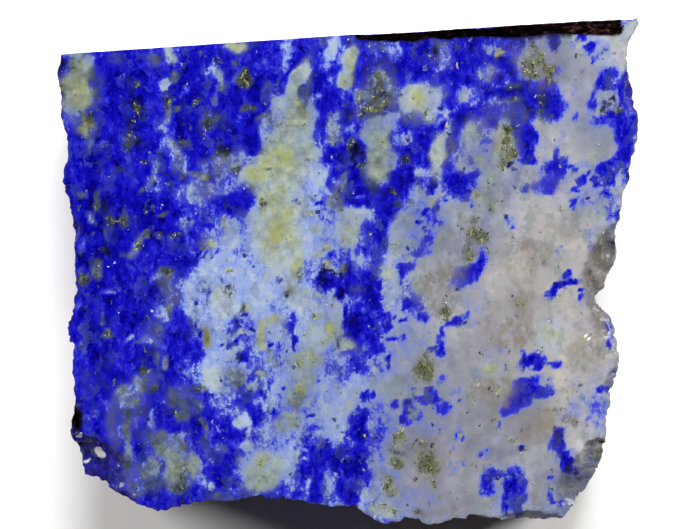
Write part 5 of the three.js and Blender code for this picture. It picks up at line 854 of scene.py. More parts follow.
# Near-black spots: dense lazurite in the darkest grains, and scraps of the old rind.
DARK = [
    (-31.6, 22.4, 1.2, 0.5, 0.6, 90), (-24.0, 15.4, 1.0, 2.6, 0.45, 12),
    (-23.3, 17.5, 0.8, 1.0, 0.5), (-19.9, 18.6, 0.5, 1.2, 0.4), (-26.2, 4.6, 1.4, 2.4, 0.3),
    (-24.6, 6.0, 0.7, 1.6, 0.35), (-26.8, 2.2, 1.2, 0.8, 0.35), (-18.4, -6.9, 0.9, 0.6, 0.4),
    (-19.8, -3.0, 0.9, 1.4, 0.3), (-22.0, -12.4, 1.2, 1.4, 0.4), (-30.0, -16.3, 0.75, 1.7, 1.0),
    (-29.5, -15.1, 0.6, 0.5, 0.8), (-27.4, -21.4, 1.8, 1.6, 0.3), (-25.8, -22.8, 1.2, 1.4, 0.4),
    (-2.0, -0.6, 1.6, 0.5, 0.4), (-2.8, -1.4, 0.8, 0.7, 0.3), (-0.5, -2.8, 0.8, 1.0, 0.35),
    (1.7, 12.7, 0.8, 0.9, 0.4), (0.4, 17.6, 0.7, 0.5, 0.45), (1.9, 17.6, 1.2, 0.8, 0.3),
    (3.4, 19.0, 1.2, 1.2, 0.35), (4.0, 8.8, 2.6, 0.7, 0.3), (6.6, 10.0, 1.4, 0.8, 0.3),
    (29.2, 18.75, 0.5, 0.5, 1.0), (28.3, 17.6, 0.5, 0.45, 1.0), (22.9, 25.1, 1.2, 1.0, 0.3),
    (19.8, 17.6, 1.4, 1.4, 0.25), (24.7, -1.4, 1.2, 0.4, 0.4), (23.3, -18.2, 0.8, 0.8, 0.5),
    (24.3, -21.4, 1.1, 0.5, 0.35, -55), (19.6, -19.9, 0.6, 0.45, 0.7), (1.6, -1.8, 1.8, 1.6, 0.2),
    (5.6, -20.2, 0.6, 0.35, 0.7), (18.2, 11.8, 0.6, 0.3, 0.5, 20), (19.4, 20.4, 1.4, 0.8, 0.3),
    (16.8, 19.6, 1.2, 0.5, 0.3), (9.8, 24.0, 0.3, 1.2, 0.3), (28.4, -4.4, 0.4, 1.2, 0.35),
    (4.4, -23.4, 0.7, 0.5, 0.4, -50), (-10.9, 21.4, 0.5, 0.9, 0.3), (-3.4, 20.2, 1.0, 1.4, 0.2),
    (-28.1, 17.0, 0.45, 0.3, 0.6), (-23.9, 15.8, 1.0, 0.35, 0.7, 70), (-26.1, 14.8, 0.4, 0.4, 0.35),
    (-20.0, 18.4, 0.35, 0.9, 0.55), (-22.9, 20.4, 0.5, 0.5, 0.4), (-15.3, 15.9, 0.5, 0.3, 0.7),
    (-13.6, 13.4, 0.8, 0.6, 0.6), (-14.8, 23.2, 0.35, 0.25, 0.6), (-15.0, 17.0, 0.8, 0.8, 0.35),
    (-10.9, 17.9, 0.8, 0.3, 0.5), (-11.9, 19.9, 0.3, 0.6, 0.4), (-19.4, 22.8, 0.5, 0.3, 0.4),
    (-18.0, 14.2, 0.7, 0.4, 0.4), (-23.3, 18.4, 0.5, 0.5, 0.4), (1.5, 18.5, 0.9, 0.35, 0.7, -25),
    (2.6, 18.4, 0.5, 0.3, 0.6, 40), (4.2, 17.7, 0.25, 0.25, 0.8), (4.7, 17.5, 0.25, 0.25, 0.8),
    (1.8, 16.5, 0.4, 0.25, 0.7, -60), (0.6, 13.3, 0.7, 0.35, 0.7), (5.7, 19.4, 0.25, 0.2, 0.9),
    (0.6, 14.4, 0.35, 0.2, 0.6), (2.0, 17.6, 0.6, 0.35, 0.5), (4.4, 18.9, 0.4, 0.3, 0.5, 60),
    (9.8, 24.1, 0.4, 0.5, 0.6), (9.8, 22.9, 0.4, 0.15, 0.6, 20), (17.3, 23.5, 0.4, 0.25, 0.6),
    (13.3, 21.1, 0.6, 0.35, 0.4), (16.9, 21.0, 0.4, 0.5, 0.5), (15.9, 16.3, 0.35, 0.4, 0.5),
    (12.2, 15.9, 0.5, 1.1, 0.35), (22.8, 24.4, 0.6, 0.3, 0.4), (8.9, 17.5, 0.4, 0.5, 0.35),
    (18.5, 14.6, 0.3, 0.6, 0.6), (18.4, 16.6, 0.4, 0.25, 0.6), (17.2, 19.4, 1.2, 0.35, 0.3, 5),
    (29.9, 17.5, 0.75, 0.65, 0.5), (12.8, 24.1, 0.9, 0.5, 0.25), (-28.2, 7.8, 0.3, 1.2, 0.6),
    (-26.8, 7.9, 0.25, 1.1, 0.5), (-26.4, 7.2, 0.9, 0.8, 0.35), (-21.4, 4.1, 0.2, 0.5, 0.8),
    (-22.3, 4.5, 0.2, 0.3, 0.6), (-20.0, 4.3, 0.3, 0.2, 0.7), (-19.7, 3.9, 0.25, 0.35, 0.7),
    (-22.9, 2.4, 0.3, 0.4, 0.5), (-26.6, 2.2, 0.6, 0.3, 0.7, -40), (-26.1, 5.0, 0.4, 0.5, 0.4),
    (-21.5, 8.5, 0.5, 0.4, 0.4), (-20.1, -0.3, 0.6, 0.4, 0.45), (-29.1, -1.2, 0.4, 0.25, 0.5),
    (-27.9, 3.4, 0.5, 0.3, 0.3), (-9.2, 7.1, 0.35, 0.3, 0.7), (-9.0, 10.9, 0.35, 0.2, 0.5, 20),
    (-8.2, 11.0, 0.4, 0.15, 0.5, 40), (-12.0, 11.2, 0.35, 0.3, 0.6),
    (-14.0, 10.7, 0.9, 0.2, 0.4, 10), (-12.7, 11.2, 0.3, 0.2, 0.5), (-15.0, 11.8, 0.4, 0.5, 0.4),
    (-13.4, 5.3, 0.25, 0.3, 0.5), (-11.1, 9.2, 0.35, 0.25, 0.5), (-12.9, -0.1, 0.35, 0.25, 0.6),
    (-16.0, 9.5, 0.5, 0.2, 0.5), (-15.7, 2.5, 0.4, 0.3, 0.3), (-16.1, 1.9, 0.3, 0.2, 0.5),
    (-16.9, 1.2, 0.5, 0.6, 0.3), (-19.4, 0.0, 0.5, 1.0, 0.3), (0.7, 12.4, 0.35, 0.9, 0.7),
    (4.9, 12.4, 0.2, 0.25, 0.6), (5.0, 11.6, 0.2, 0.25, 0.5), (-4.7, 12.3, 0.4, 0.12, 0.5),
    (1.9, 10.1, 0.25, 0.35, 0.5), (5.3, 8.2, 0.3, 0.3, 0.6, -40), (4.6, 8.9, 0.3, 0.2, 0.7),
    (-1.0, 8.4, 0.2, 0.7, 0.7), (-0.6, 8.4, 0.3, 0.35, 0.4), (-1.1, 6.5, 0.35, 0.12, 0.5),
    (-2.3, 2.0, 0.4, 0.12, 0.7), (-2.8, 0.1, 0.3, 0.5, 0.8), (-1.4, -0.3, 0.9, 0.25, 0.8, 5),
    (-0.1, 0.1, 0.25, 0.6, 0.8), (-0.5, 0.6, 0.15, 0.3, 0.7), (0.1, 5.4, 0.25, 0.2, 0.35),
    (-5.0, 0.0, 0.5, 0.2, 0.5, -30), (-4.8, -0.7, 0.2, 0.4, 0.5), (3.6, 2.4, 0.6, 0.2, 0.5),
    (-4.1, 8.0, 0.25, 0.15, 0.5), (-6.4, 8.6, 0.2, 0.4, 0.35), (12.6, 4.2, 0.25, 0.2, 0.7),
    (18.5, 12.9, 0.2, 0.5, 0.8), (17.9, 11.6, 0.4, 0.2, 0.7, 10), (16.2, 9.5, 0.3, 0.15, 0.4),
    (15.7, 7.0, 0.25, 0.15, 0.6), (13.6, 2.2, 0.3, 0.6, 0.4), (7.4, 3.7, 0.3, 0.1, 0.7, 30),
    (7.5, 6.4, 0.2, 0.2, 0.5), (6.3, 11.9, 0.4, 0.9, 0.5), (15.6, 13.0, 0.3, 0.15, 0.5, -40),
    (16.3, 1.8, 0.15, 0.12, 0.5), (17.2, 3.6, 0.25, 0.15, 0.3, 20), (15.9, 5.9, 0.35, 0.12, 0.3),
    (13.6, 8.8, 0.3, 0.3, 0.4), (24.8, 5.0, 0.2, 0.15, 0.4), (25.5, 4.2, 0.2, 0.15, 0.4),
    (21.7, 0.9, 0.3, 0.2, 0.5), (27.3, 0.5, 0.2, 0.2, 0.7), (29.1, 4.3, 0.2, 0.2, 0.5),
    (26.4, 6.6, 0.2, 0.12, 0.5), (20.9, 7.1, 0.2, 0.12, 0.5), (22.8, 8.3, 0.15, 0.3, 0.5),
    (25.2, 6.5, 0.15, 0.3, 0.35), (24.6, -0.2, 0.2, 0.12, 0.4), (-26.1, -7.1, 0.2, 0.35, 0.7),
    (-26.5, -5.6, 0.2, 0.6, 0.5), (-22.9, -11.3, 0.2, 0.4, 0.6), (-22.2, -10.6, 0.5, 0.25, 0.6),
    (-19.4, -5.5, 0.3, 0.25, 0.5), (-22.5, -8.8, 0.7, 0.4, 0.5), (-22.2, -9.6, 0.6, 0.6, 0.3),
    (-27.7, -6.8, 0.4, 0.8, 0.4), (-25.9, -3.1, 0.6, 0.4, 0.35), (-18.6, -6.8, 0.5, 0.5, 0.5),
    (-30.5, -6.0, 0.3, 0.5, 0.6), (-30.2, -8.6, 0.3, 0.4, 0.4), (-21.5, -9.3, 0.4, 0.5, 0.4),
    (-28.0, -12.3, 0.4, 0.3, 0.3), (-18.8, -14.6, 0.8, 0.5, 0.5), (-23.5, -4.8, 0.3, 0.8, 0.3),
    (-11.4, -4.2, 0.25, 0.2, 0.9), (-11.2, -4.75, 0.5, 0.15, 0.7), (-14.0, -5.7, 0.13, 0.13, 0.8),
    (-11.7, -10.0, 0.35, 0.25, 0.6), (-12.1, -5.6, 0.3, 0.5, 0.4),
    (-14.0, -8.4, 0.25, 0.12, 0.5, 55), (-13.0, -5.0, 0.25, 0.15, 0.5),
    (-11.0, -13.7, 0.25, 0.2, 0.7), (-6.8, -2.9, 0.12, 0.3, 0.6), (-16.2, -13.1, 0.3, 0.25, 0.4),
    (-9.6, -8.8, 0.4, 0.12, 0.35), (-13.4, -2.4, 0.2, 0.4, 0.25, -30),
    (-10.4, -8.6, 0.25, 0.2, 0.3), (0.7, -1.6, 0.15, 0.15, 0.8), (1.2, -2.7, 0.3, 0.1, 0.8),
    (1.8, -1.9, 0.5, 0.3, 0.5), (0.3, -5.6, 0.9, 0.8, 0.3), (-0.7, -8.2, 0.3, 0.5, 0.8),
    (0.0, -7.2, 0.4, 0.3, 0.5), (-1.3, -8.7, 0.35, 0.2, 0.5), (-3.7, -5.0, 0.35, 0.2, 0.5, 30),
    (-5.9, -8.1, 0.2, 0.5, 0.4), (-4.0, -10.1, 0.2, 0.2, 0.5), (-5.8, -14.5, 0.25, 0.12, 0.6),
    (5.6, -5.4, 0.7, 0.1, 0.4, -4), (6.0, -7.4, 0.2, 0.15, 0.5), (2.6, -9.7, 0.2, 0.12, 0.4),
    (5.8, -14.0, 0.2, 0.15, 0.6), (-6.3, -2.2, 0.35, 0.35, 0.4), (4.4, -6.1, 0.35, 0.35, 0.25),
    (-5.7, -12.1, 0.2, 0.2, 0.5), (2.7, -15.0, 0.3, 0.15, 0.4), (-1.5, -9.2, 0.3, 0.15, 0.3),
    (11.0, -5.7, 0.5, 0.2, 0.5), (12.0, -2.2, 0.15, 0.15, 0.8), (11.2, -3.0, 0.3, 0.1, 0.5),
    (9.9, -11.3, 0.14, 0.14, 0.9), (17.8, -9.2, 0.14, 0.3, 0.6, -10), (9.2, -9.0, 0.5, 0.2, 0.4),
    (7.4, -14.0, 0.3, 0.25, 0.7), (8.4, -7.2, 0.1, 0.25, 0.5), (6.8, -15.0, 0.5, 0.35, 0.4),
    (18.7, -6.6, 0.25, 0.15, 0.3), (7.9, -12.4, 0.3, 0.2, 0.4), (6.8, -3.4, 0.35, 0.25, 0.4),
    (8.4, -5.5, 0.3, 0.3, 0.3), (28.2, -6.5, 0.3, 0.35, 0.5), (28.4, -4.3, 0.25, 0.4, 0.5),
    (26.5, -10.2, 0.3, 0.2, 0.25), (24.6, -1.4, 0.6, 0.3, 0.3), (23.0, -14.4, 0.25, 0.15, 0.4),
    (20.1, -14.1, 0.15, 0.15, 0.5), (28.9, -12.8, 0.2, 0.15, 0.4), (19.5, -10.3, 0.35, 0.6, 0.25),
    (-25.1, -22.4, 0.25, 0.8, 0.7), (-24.5, -24.5, 0.5, 0.25, 0.7, -30),
    (-20.7, -21.5, 0.15, 0.6, 0.7, 10), (-22.6, -20.3, 0.5, 0.4, 0.4),
    (-25.2, -16.2, 0.3, 0.5, 0.4), (-24.2, -20.2, 0.6, 0.3, 0.3),
    (-28.6, -22.4, 0.7, 0.3, 0.6, -25), (-18.8, -23.9, 0.5, 0.15, 0.4),
    (-21.0, -19.0, 0.8, 0.3, 0.3), (-27.0, -23.2, 0.8, 0.3, 0.5, -35),
    (-11.4, -18.0, 0.3, 0.15, 0.6), (-10.9, -18.5, 0.2, 0.12, 0.5), (-9.6, -23.3, 0.2, 0.3, 0.4),
    (-8.7, -23.2, 0.2, 0.2, 0.4), (-13.2, -20.7, 0.8, 0.3, 0.4), (-12.6, -21.3, 0.3, 0.3, 0.4),
    (-13.1, -18.6, 0.9, 0.3, 0.25), (-6.4, -22.6, 0.22, 0.2, 0.6), (-8.9, -19.2, 0.5, 0.15, 0.4),
    (-14.0, -18.4, 0.5, 0.3, 0.3), (-12.7, -24.1, 0.2, 0.15, 0.6), (-14.8, -24.6, 0.4, 0.25, 0.4),
    (-17.0, -15.8, 0.5, 0.9, 0.3), (5.4, -20.15, 0.55, 0.22, 0.6, -5), (5.2, -24.6, 0.4, 0.5, 0.35),
    (2.9, -26.0, 0.15, 0.3, 0.6), (2.9, -19.9, 0.3, 0.35, 0.5), (-5.8, -17.0, 0.14, 0.14, 0.8),
    (1.8, -15.6, 0.4, 0.3, 0.3), (-2.9, -15.6, 0.2, 0.12, 0.4), (-4.0, -16.1, 0.3, 0.1, 0.4, -30),
    (5.8, -18.0, 0.5, 0.2, 0.4), (4.2, -26.0, 0.4, 0.2, 0.35), (-5.2, -20.8, 0.2, 0.18, 0.4),
    (0.4, -25.0, 0.6, 0.6, 0.25), (6.3, -16.6, 0.4, 0.9, 0.3), (7.7, -18.9, 0.2, 0.12, 0.7),
    (7.4, -19.6, 0.15, 0.3, 0.5), (11.5, -20.3, 0.2, 0.2, 0.3), (13.6, -21.4, 0.2, 0.15, 0.3),
    (8.4, -22.4, 0.4, 0.2, 0.4), (9.5, -23.7, 0.2, 0.15, 0.5), (15.6, -23.3, 0.2, 0.22, 0.5),
    (17.6, -24.6, 0.35, 1.6, 0.3), (19.4, -17.6, 0.12, 0.25, 0.5),
    (11.2, -24.8, 0.12, 0.3, 0.4, 20), (7.0, -15.4, 0.35, 0.6, 0.5), (14.9, -20.6, 0.3, 0.2, 0.3),
    (7.9, -26.9, 0.5, 0.2, 0.5), (23.5, -15.8, 0.5, 0.08, 0.4, -50),
    (24.0, -16.7, 0.4, 0.1, 0.4, -30), (26.7, -17.7, 0.14, 0.14, 0.6),
    (28.0, -20.5, 0.2, 0.3, 0.35), (26.0, -22.3, 0.15, 0.5, 0.5), (24.2, -26.3, 0.25, 0.15, 0.6),
    (22.3, -24.0, 0.25, 0.3, 0.3), (25.4, -25.6, 0.15, 0.3, 0.7, -40),
    (24.9, -17.2, 0.4, 0.12, 0.3), (27.5, -21.4, 0.3, 0.3, 0.25), (25.6, -22.9, 0.4, 0.15, 0.35),
    (8.5, -10.8, 0.9, 1.4, 0.35), (8.6, -21.2, 1.0, 1.2, 0.3), (6.0, -18.8, 0.7, 0.5, 0.3),
    (5.4, -21.5, 0.5, 0.5, 0.35), (4.4, -23.8, 0.5, 0.7, 0.3), (10.9, -4.9, 0.7, 0.7, 0.35),
    (14.2, 3.4, 1.0, 0.7, 0.3), (28.8, 18.6, 0.5, 0.5, 0.6), (3.4, 20.4, 1.5, 2.0, 0.4),
    (-21.0, -24.2, 1.6, 0.9, 0.3), (-21.4, -4.8, 1.5, 2.8, 0.22), (15.6, 17.4, 2.0, 1.2, 0.2),
    (19.4, 17.2, 1.8, 1.2, 0.25), (15.0, 25.0, 1.8, 0.9, 0.2), (-25.0, 13.0, 1.5, 1.8, 0.2),
    (-29.0, 13.6, 1.0, 1.6, 0.2), (27.4, -2.4, 0.8, 2.0, 0.25), (-17.4, -22.0, 1.6, 2.0, 0.15),
    (-5.6, 24.8, 0.8, 0.5, 0.25), (20.6, 19.0, 2.0, 1.4, 0.2), (3.4, 21.0, 1.4, 2.2, 0.4),
    (19.4, 25.1, 1.8, 0.9, 0.45), (22.8, 25.3, 1.1, 0.8, 0.35), (14.4, 24.8, 2.0, 1.0, 0.25),
    (27.2, -3.0, 0.9, 1.5, 0.3), (-29.0, 0.4, 1.1, 1.6, 0.2), (-20.6, -2.6, 1.4, 1.4, 0.25),
    (19.6, 21.0, 1.4, 1.2, 0.3), (7.0, 25.2, 1.4, 0.6, 0.2), (-21.2, -23.6, 1.6, 1.2, 0.25),
    (-17.6, -18.6, 1.4, 1.2, 0.2), (23.0, 9.2, 0.8, 0.5, 0.2), (-23.2, -16.4, 3.0, 2.6, 0.22),
    (-15.4, -7.4, 0.5, 1.0, 0.4), (-9.6, -7.4, 0.4, 1.0, 0.25), (-25.4, -21.4, 1.4, 2.0, 0.25),
    (-18.6, -15.4, 2.0, 1.6, 0.2), (-21.4, -12.0, 2.2, 1.4, 0.2), (11.4, 13.2, 1.2, 1.2, 0.15),
    (-19.6, -3.6, 1.2, 1.2, 0.2),
]

# Painted highlights, laid in as white spots: the shine of the lamps on glossy chips and small
# glints, a strip of shine along the top right rim, and a pale patch that lightens a broken face
# low on the right.
PAINTED_HIGHLIGHTS = [
    (-27.5, -20.2, 0.55, 0.4, 1.0, -30), (-29.6, -18.4, 0.6, 0.26, 1.0, -5),
    (-28.9, -21.4, 0.4, 0.2, 1.0, 40), (26.65, -7.1, 0.14, 0.14, 1.0),
    (26.95, -7.5, 0.15, 0.15, 1.0), (25.4, -25.25, 0.2, 0.14, 1.0),
    (18.35, -19.35, 0.14, 0.14, 0.9), (19.4, -20.4, 0.12, 0.1, 0.8), (8.4, -10.2, 0.14, 0.14, 0.7),
    (25.6, -19.8, 0.9, 1.1, 0.37), (31.0, 24.0, 0.6, 1.6, 0.35),
]

# The pattern runs through the slab, but it leans and wanders on the way to the back, and the
# outlines of the ovals are ragged. RAGGED holds sizes of wave with how far each one reaches.
CRISP = 0.46
SOFT = 0.75
LEAN = (0.24, -0.16)
WANDER = 3.2
WANDER_SIZE = 9.0
WANDER_DEPTH = 5.0
RAGGED = [(2.4, 0.4), (1.0, 0.42)]
SCATTERED_PYRITE = 0.006
HALF_BLUE = 0.5

places = np.empty(len(stone.data.vertices) * 3)
stone.data.vertices.foreach_get("co", places)
places = places.reshape(-1, 3) / MM
depth = high.z / MM - places[:, 2]


def wavering(size):
    """Smooth random offsets for all the places, in x and y, from -1 to 1."""
    steps = [noise.noise_vector(Vector(place) / size) for place in places]
    return np.array(steps)[:, :2]


pattern = places[:, :2] - depth[:, None] * np.array(LEAN)
wander = WANDER * np.clip(depth / WANDER_DEPTH, 0.0, 1.0)
pattern += wander[:, None] * wavering(WANDER_SIZE)
for size, reach in RAGGED:
    pattern += reach * wavering(size)


def oval(x, y, length, breadth, softness, turn=0):
    """How far each place lies inside one soft-edged oval, from 0 outside it to 1 inside."""
    across, up = pattern[:, 0] - x, pattern[:, 1] - y
    cosine, sine = math.cos(math.radians(turn)), math.sin(math.radians(turn))
    along = (across * cosine + up * sine) / length
    aside = (up * cosine - across * sine) / breadth
    inside = (1.0 + softness - np.hypot(along, aside)) / (2.0 * softness)
    inside = np.clip(inside, 0.0, 1.0)
    return inside * inside * (3.0 - 2.0 * inside)


def store(name, amount):
    """Keeps an amount for each place as an attribute of the slab, for its finish to read."""
    layer = stone.data.attributes.new(name, "FLOAT", "POINT")
    layer.data.foreach_set("value", amount)


def lay_down(name, ovals, ground, softness):
    """Stores how much of one mineral there is at each place: its ovals over an even ground."""
    amount = np.full(len(places), ground)
    for x, y, length, breadth, share, *turn in ovals:
        amount += (share - amount) * oval(x, y, length, breadth, softness, *turn)
    store(name, amount)


lay_down("lazurite", LAZURITE, HALF_BLUE, CRISP)
lay_down("diopside", DIOPSIDE, 0.0, CRISP)
lay_down("smoke", SMOKE, 0.0, SOFT)
lay_down("rust", RUST, 0.0, SOFT)
lay_down("warmth", WARMTH, 0.0, SOFT)
lay_down("clear", CLEAR, 0.0, SOFT)
lay_down("pyrite", PYRITE, SCATTERED_PYRITE, CRISP)
lay_down("dark", DARK, 0.0, SOFT)
# The last amount is not a mineral but painted highlight.
lay_down("painted_highlight", PAINTED_HIGHLIGHTS, 0.0, CRISP)

# Where the rind is painted: on the broken part of the long side, right of the saw cut, and in one
# scrap on the left end. Its near-black is partly the old rind's own colour and partly painted
# shade.
SHADED_RIND_LEFT = -4.0
SHADED_RIND_RIGHT = 30.6
SHADED_RIND_EDGE = 22.5
SHADED_RIND_SCRAP = (-30.0, -16.3, 0.9, 1.8)

brokenness = np.array(brokenness)
along_ledge = (places[:, 0] > SHADED_RIND_LEFT) * (places[:, 0] < SHADED_RIND_RIGHT)
rind_and_shade = brokenness * along_ledge * (places[:, 1] > SHADED_RIND_EDGE)
rind_and_shade += brokenness * oval(*SHADED_RIND_SCRAP, CRISP)
store("broken", brokenness)
store("rind_and_shade", rind_and_shade)


# The finish of the slab: blue, white, olive and brassy grains. The sawn faces are smooth, with
# a trace of a wet shine, and the broken ones are hackly and wetter, but for the dull rind.
lapis = bpy.data.materials.new("lapis_rock")
lapis.use_nodes = True
nodes = lapis.node_tree.nodes
links = lapis.node_tree.links
shader = nodes["Principled BSDF"]
LAMPLIGHT = 1.86


def pigment(red, green, blue):
    """A colour as the shader takes it, from how it looks under the lamps, from 0 to 255.

    It undoes the screen's own curve, and takes out how much the lamps brighten the rock.
    """
    channels = []
    for value in (red, green, blue):
        share = value / 255.0
        linear = share / 12.92 if share <= 0.04045 else ((share + 0.055) / 1.055) ** 2.4
        channels.append(linear / LAMPLIGHT)
    return (*channels, 1.0)


def feed(socket, value):
    """Gives a socket another node's output, or a plain value."""
    if isinstance(value, bpy.types.NodeSocket):
        links.new(value, socket)
    else:
        socket.default_value = value


def amount_of(name):
    """The stored amount of one mineral."""
    stored = nodes.new("ShaderNodeAttribute")
    stored.attribute_name = name
    return stored.outputs["Fac"]


def calc(operation, *values, clamp=False):
    """One arithmetic step."""
    step = nodes.new("ShaderNodeMath")
    step.operation = operation
    step.use_clamp = clamp
    for socket, value in zip(step.inputs, values):
        feed(socket, value)
    return step.outputs["Value"]


# The numbers of a Mix node's sockets when it blends colours.
MIX_SHARE = 0
MIX_UNDER = 6
MIX_OVER = 7
MIX_COLOUR = 2


def blend(share, under, over):
    """`over` laid on `under`, as far as `share` says."""
    mix = nodes.new("ShaderNodeMix")
    mix.data_type = "RGBA"
    feed(mix.inputs[MIX_SHARE], share)
    feed(mix.inputs[MIX_UNDER], under)
    feed(mix.inputs[MIX_OVER], over)
    return mix.outputs[MIX_COLOUR]


def shades(value, *stops):
    """A run of colours picked by a value."""
    ramp = nodes.new("ShaderNodeValToRGB")
    elements = ramp.color_ramp.elements
    while len(elements) < len(stops):
        elements.new(1.0)
    for element, (position, colour) in zip(elements, stops):
        element.position = position
        element.color = colour
    feed(ramp.inputs["Fac"], value)
    return ramp.outputs["Color"]


def between(value, start, end):
    """0 up to `start`, 1 from `end` on, and a smooth slope between them."""
    span = nodes.new("ShaderNodeMapRange")
    span.interpolation_type = "SMOOTHSTEP"
    feed(span.inputs["Value"], value)
    span.inputs["From Min"].default_value = start
    span.inputs["From Max"].default_value = end
    return span.outputs["Result"]


# Places in millimetres, and the same turned and drawn out along the grain of the rock.
GRAIN_TURN = math.radians(8)
GRAIN_STRETCH = (1.0, 0.6, 0.8)

coordinates = nodes.new("ShaderNodeTexCoord")
in_mm = nodes.new("ShaderNodeMapping")
in_mm.inputs["Scale"].default_value = (1 / MM, 1 / MM, 1 / MM)
feed(in_mm.inputs["Vector"], coordinates.outputs["Object"])
along_grain = nodes.new("ShaderNodeMapping")
along_grain.inputs["Rotation"].default_value = (0, 0, GRAIN_TURN)
along_grain.inputs["Scale"].default_value = GRAIN_STRETCH
feed(along_grain.inputs["Vector"], in_mm.outputs["Vector"])


def cloud(size, detail=2.0, coarse=0.5, vector=in_mm):
    """Smooth noise with lumps of about `size` millimetres, from about -0.5 to 0.5."""
    texture = nodes.new("ShaderNodeTexNoise")
    texture.inputs["Scale"].default_value = 1.0 / size
    texture.inputs["Detail"].default_value = detail
    texture.inputs["Roughness"].default_value = coarse
    feed(texture.inputs["Vector"], vector.outputs["Vector"])
    return calc("SUBTRACT", texture.outputs["Fac"], 0.5)


# Grains: lumpy cells of two sizes, each with its own three random numbers, over soft streaks.
GRAIN_BENDS = 1.6
DOT_BENDS = 1.0
COARSE_GRAIN = 1.0
FINE_GRAIN = 0.42

lumps = nodes.new("ShaderNodeTexNoise")
lumps.inputs["Scale"].default_value = 1.3
lumps.inputs["Detail"].default_value = 3.0
lumps.inputs["Roughness"].default_value = 0.6
feed(lumps.inputs["Vector"], in_mm.outputs["Vector"])


def bent(vector, reach):
    """Places pushed about by up to `reach` millimetres, so that cells there are lumpy."""
    push = nodes.new("ShaderNodeVectorMath")
    push.operation = "MULTIPLY_ADD"
    push.inputs[1].default_value = (reach, reach, reach)
    feed(push.inputs[0], lumps.outputs["Color"])
    feed(push.inputs[2], vector.outputs["Vector"])
    return push.outputs["Vector"]


grain_places = bent(along_grain, GRAIN_BENDS)
dot_places = bent(in_mm, DOT_BENDS)


def cells_of(size, place):
    """The random numbers of cells of about `size` millimetres, and the distance to a middle."""
    cells = nodes.new("ShaderNodeTexVoronoi")
    cells.inputs["Scale"].default_value = 1.0 / size
    feed(cells.inputs["Vector"], place)
    lots = nodes.new("ShaderNodeSeparateColor")
    feed(lots.inputs["Color"], cells.outputs["Color"])
    return lots.outputs, cells.outputs["Distance"]


coarse_grains, _ = cells_of(COARSE_GRAIN, grain_places)
fine_grains, _ = cells_of(FINE_GRAIN, grain_places)
streaks = cloud(1.7, detail=3.0, coarse=0.6, vector=along_grain)
specks = cloud(0.55, detail=3.0, coarse=0.65, vector=along_grain)
coarse_lot = calc("MULTIPLY_ADD", coarse_grains["Red"], 0.36, -0.43)
both_lots = calc("MULTIPLY_ADD", fine_grains["Red"], 0.5, coarse_lot)
streaked = calc("MULTIPLY_ADD", streaks, 0.8, both_lots)
mottle = calc("MULTIPLY_ADD", specks, 1.35, streaked)

# Blue grains: the stored amount, broken up by the grains. White rock is calm.
lazurite = amount_of("lazurite")
unsettled = calc("MULTIPLY_ADD", between(lazurite, 0.05, 0.55), 0.62, 0.07)
liveliness = calc("MULTIPLY_ADD", between(lazurite, 0.8, 1.0), -0.14, unsettled)
blueness = calc("MULTIPLY_ADD", mottle, liveliness, lazurite)
blue_grains = shades(
    calc("MULTIPLY", blueness, 0.8, clamp=True),
    (0.30, pigment(104, 120, 206)),
    (0.38, pigment(76, 86, 212)),
    (0.47, pigment(54, 58, 206)),
    (0.59, pigment(32, 30, 200)),
    (0.73, pigment(17, 14, 182)),
    (0.87, pigment(9, 6, 150)),
    (1.00, pigment(7, 3, 84)),
)

# White rock: calcite, cool and icy blue on the left, warm and milky on the right.
warmth = amount_of("warmth")
tint = calc("ADD", cloud(3.6), calc("MULTIPLY", cloud(0.9), 0.4))
spread = calc("MULTIPLY_ADD", tint, 1.1, 0.5)
cool_calcite = shades(
    spread,
    (0.25, pigment(150, 170, 206)),
    (0.45, pigment(182, 197, 222)),
    (0.6, pigment(172, 188, 188)),
    (0.8, pigment(192, 204, 216)),
)
warm_calcite = shades(
    spread,
    (0.2, pigment(150, 150, 160)),
    (0.4, pigment(182, 176, 182)),
    (0.55, pigment(174, 174, 172)),
    (0.8, pigment(202, 194, 190)),
)
milky_calcite = blend(warmth, cool_calcite, warm_calcite)
cool_window = shades(
    spread,
    (0.2, pigment(98, 118, 152)),
    (0.5, pigment(126, 144, 172)),
    (0.8, pigment(138, 158, 204)),
)
warm_window = shades(
    spread,
    (0.2, pigment(94, 98, 130)),
    (0.5, pigment(120, 124, 150)),
    (0.8, pigment(138, 144, 178)),
)
clearness = amount_of("clear")
calcite = blend(clearness, milky_calcite, blend(warmth, cool_window, warm_window))
milky_ice = blend(warmth, pigment(146, 170, 233), pigment(146, 152, 196))
ice = blend(clearness, milky_ice, pigment(108, 122, 190))
shade = between(calc("ADD", cloud(1.3, detail=3.0, coarse=0.6), 0.5), 0.1, 0.5)
cloudy_calcite = blend(shade, pigment(134, 138, 146), calcite)
pale_rock = blend(between(blueness, 0.1, 0.32), cloudy_calcite, ice)
blue_rock = blend(between(blueness, 0.24, 0.5), pale_rock, blue_grains)

# A grey veil over some of the grains, greenish in the pale rock and thinner in the solid blue.
folds = cloud(1.6, detail=3.0, coarse=0.6)
veil = between(calc("MULTIPLY_ADD", folds, 1.1, coarse_grains["Green"]), 0.55, 1.15)
thickness = calc("MULTIPLY_ADD", between(lazurite, 0.75, 1.0), -0.25, 0.58)
veil_grey = blend(between(blueness, 0.2, 0.7), pigment(128, 141, 142), pigment(72, 85, 108))
veiled = blend(calc("MULTIPLY", veil, thickness), blue_rock, veil_grey)


DOT_EDGE = 0.12


def dots(size, reach, share):
    """Round spots of up to `reach` cells, in a `share` of the cells of `size` millimetres."""
    lots, distance = cells_of(size, dot_places)
    radius = calc("MULTIPLY", calc("SUBTRACT", share, lots["Red"]), reach / share)
    return between(calc("SUBTRACT", radius, distance), 0.0, DOT_EDGE)


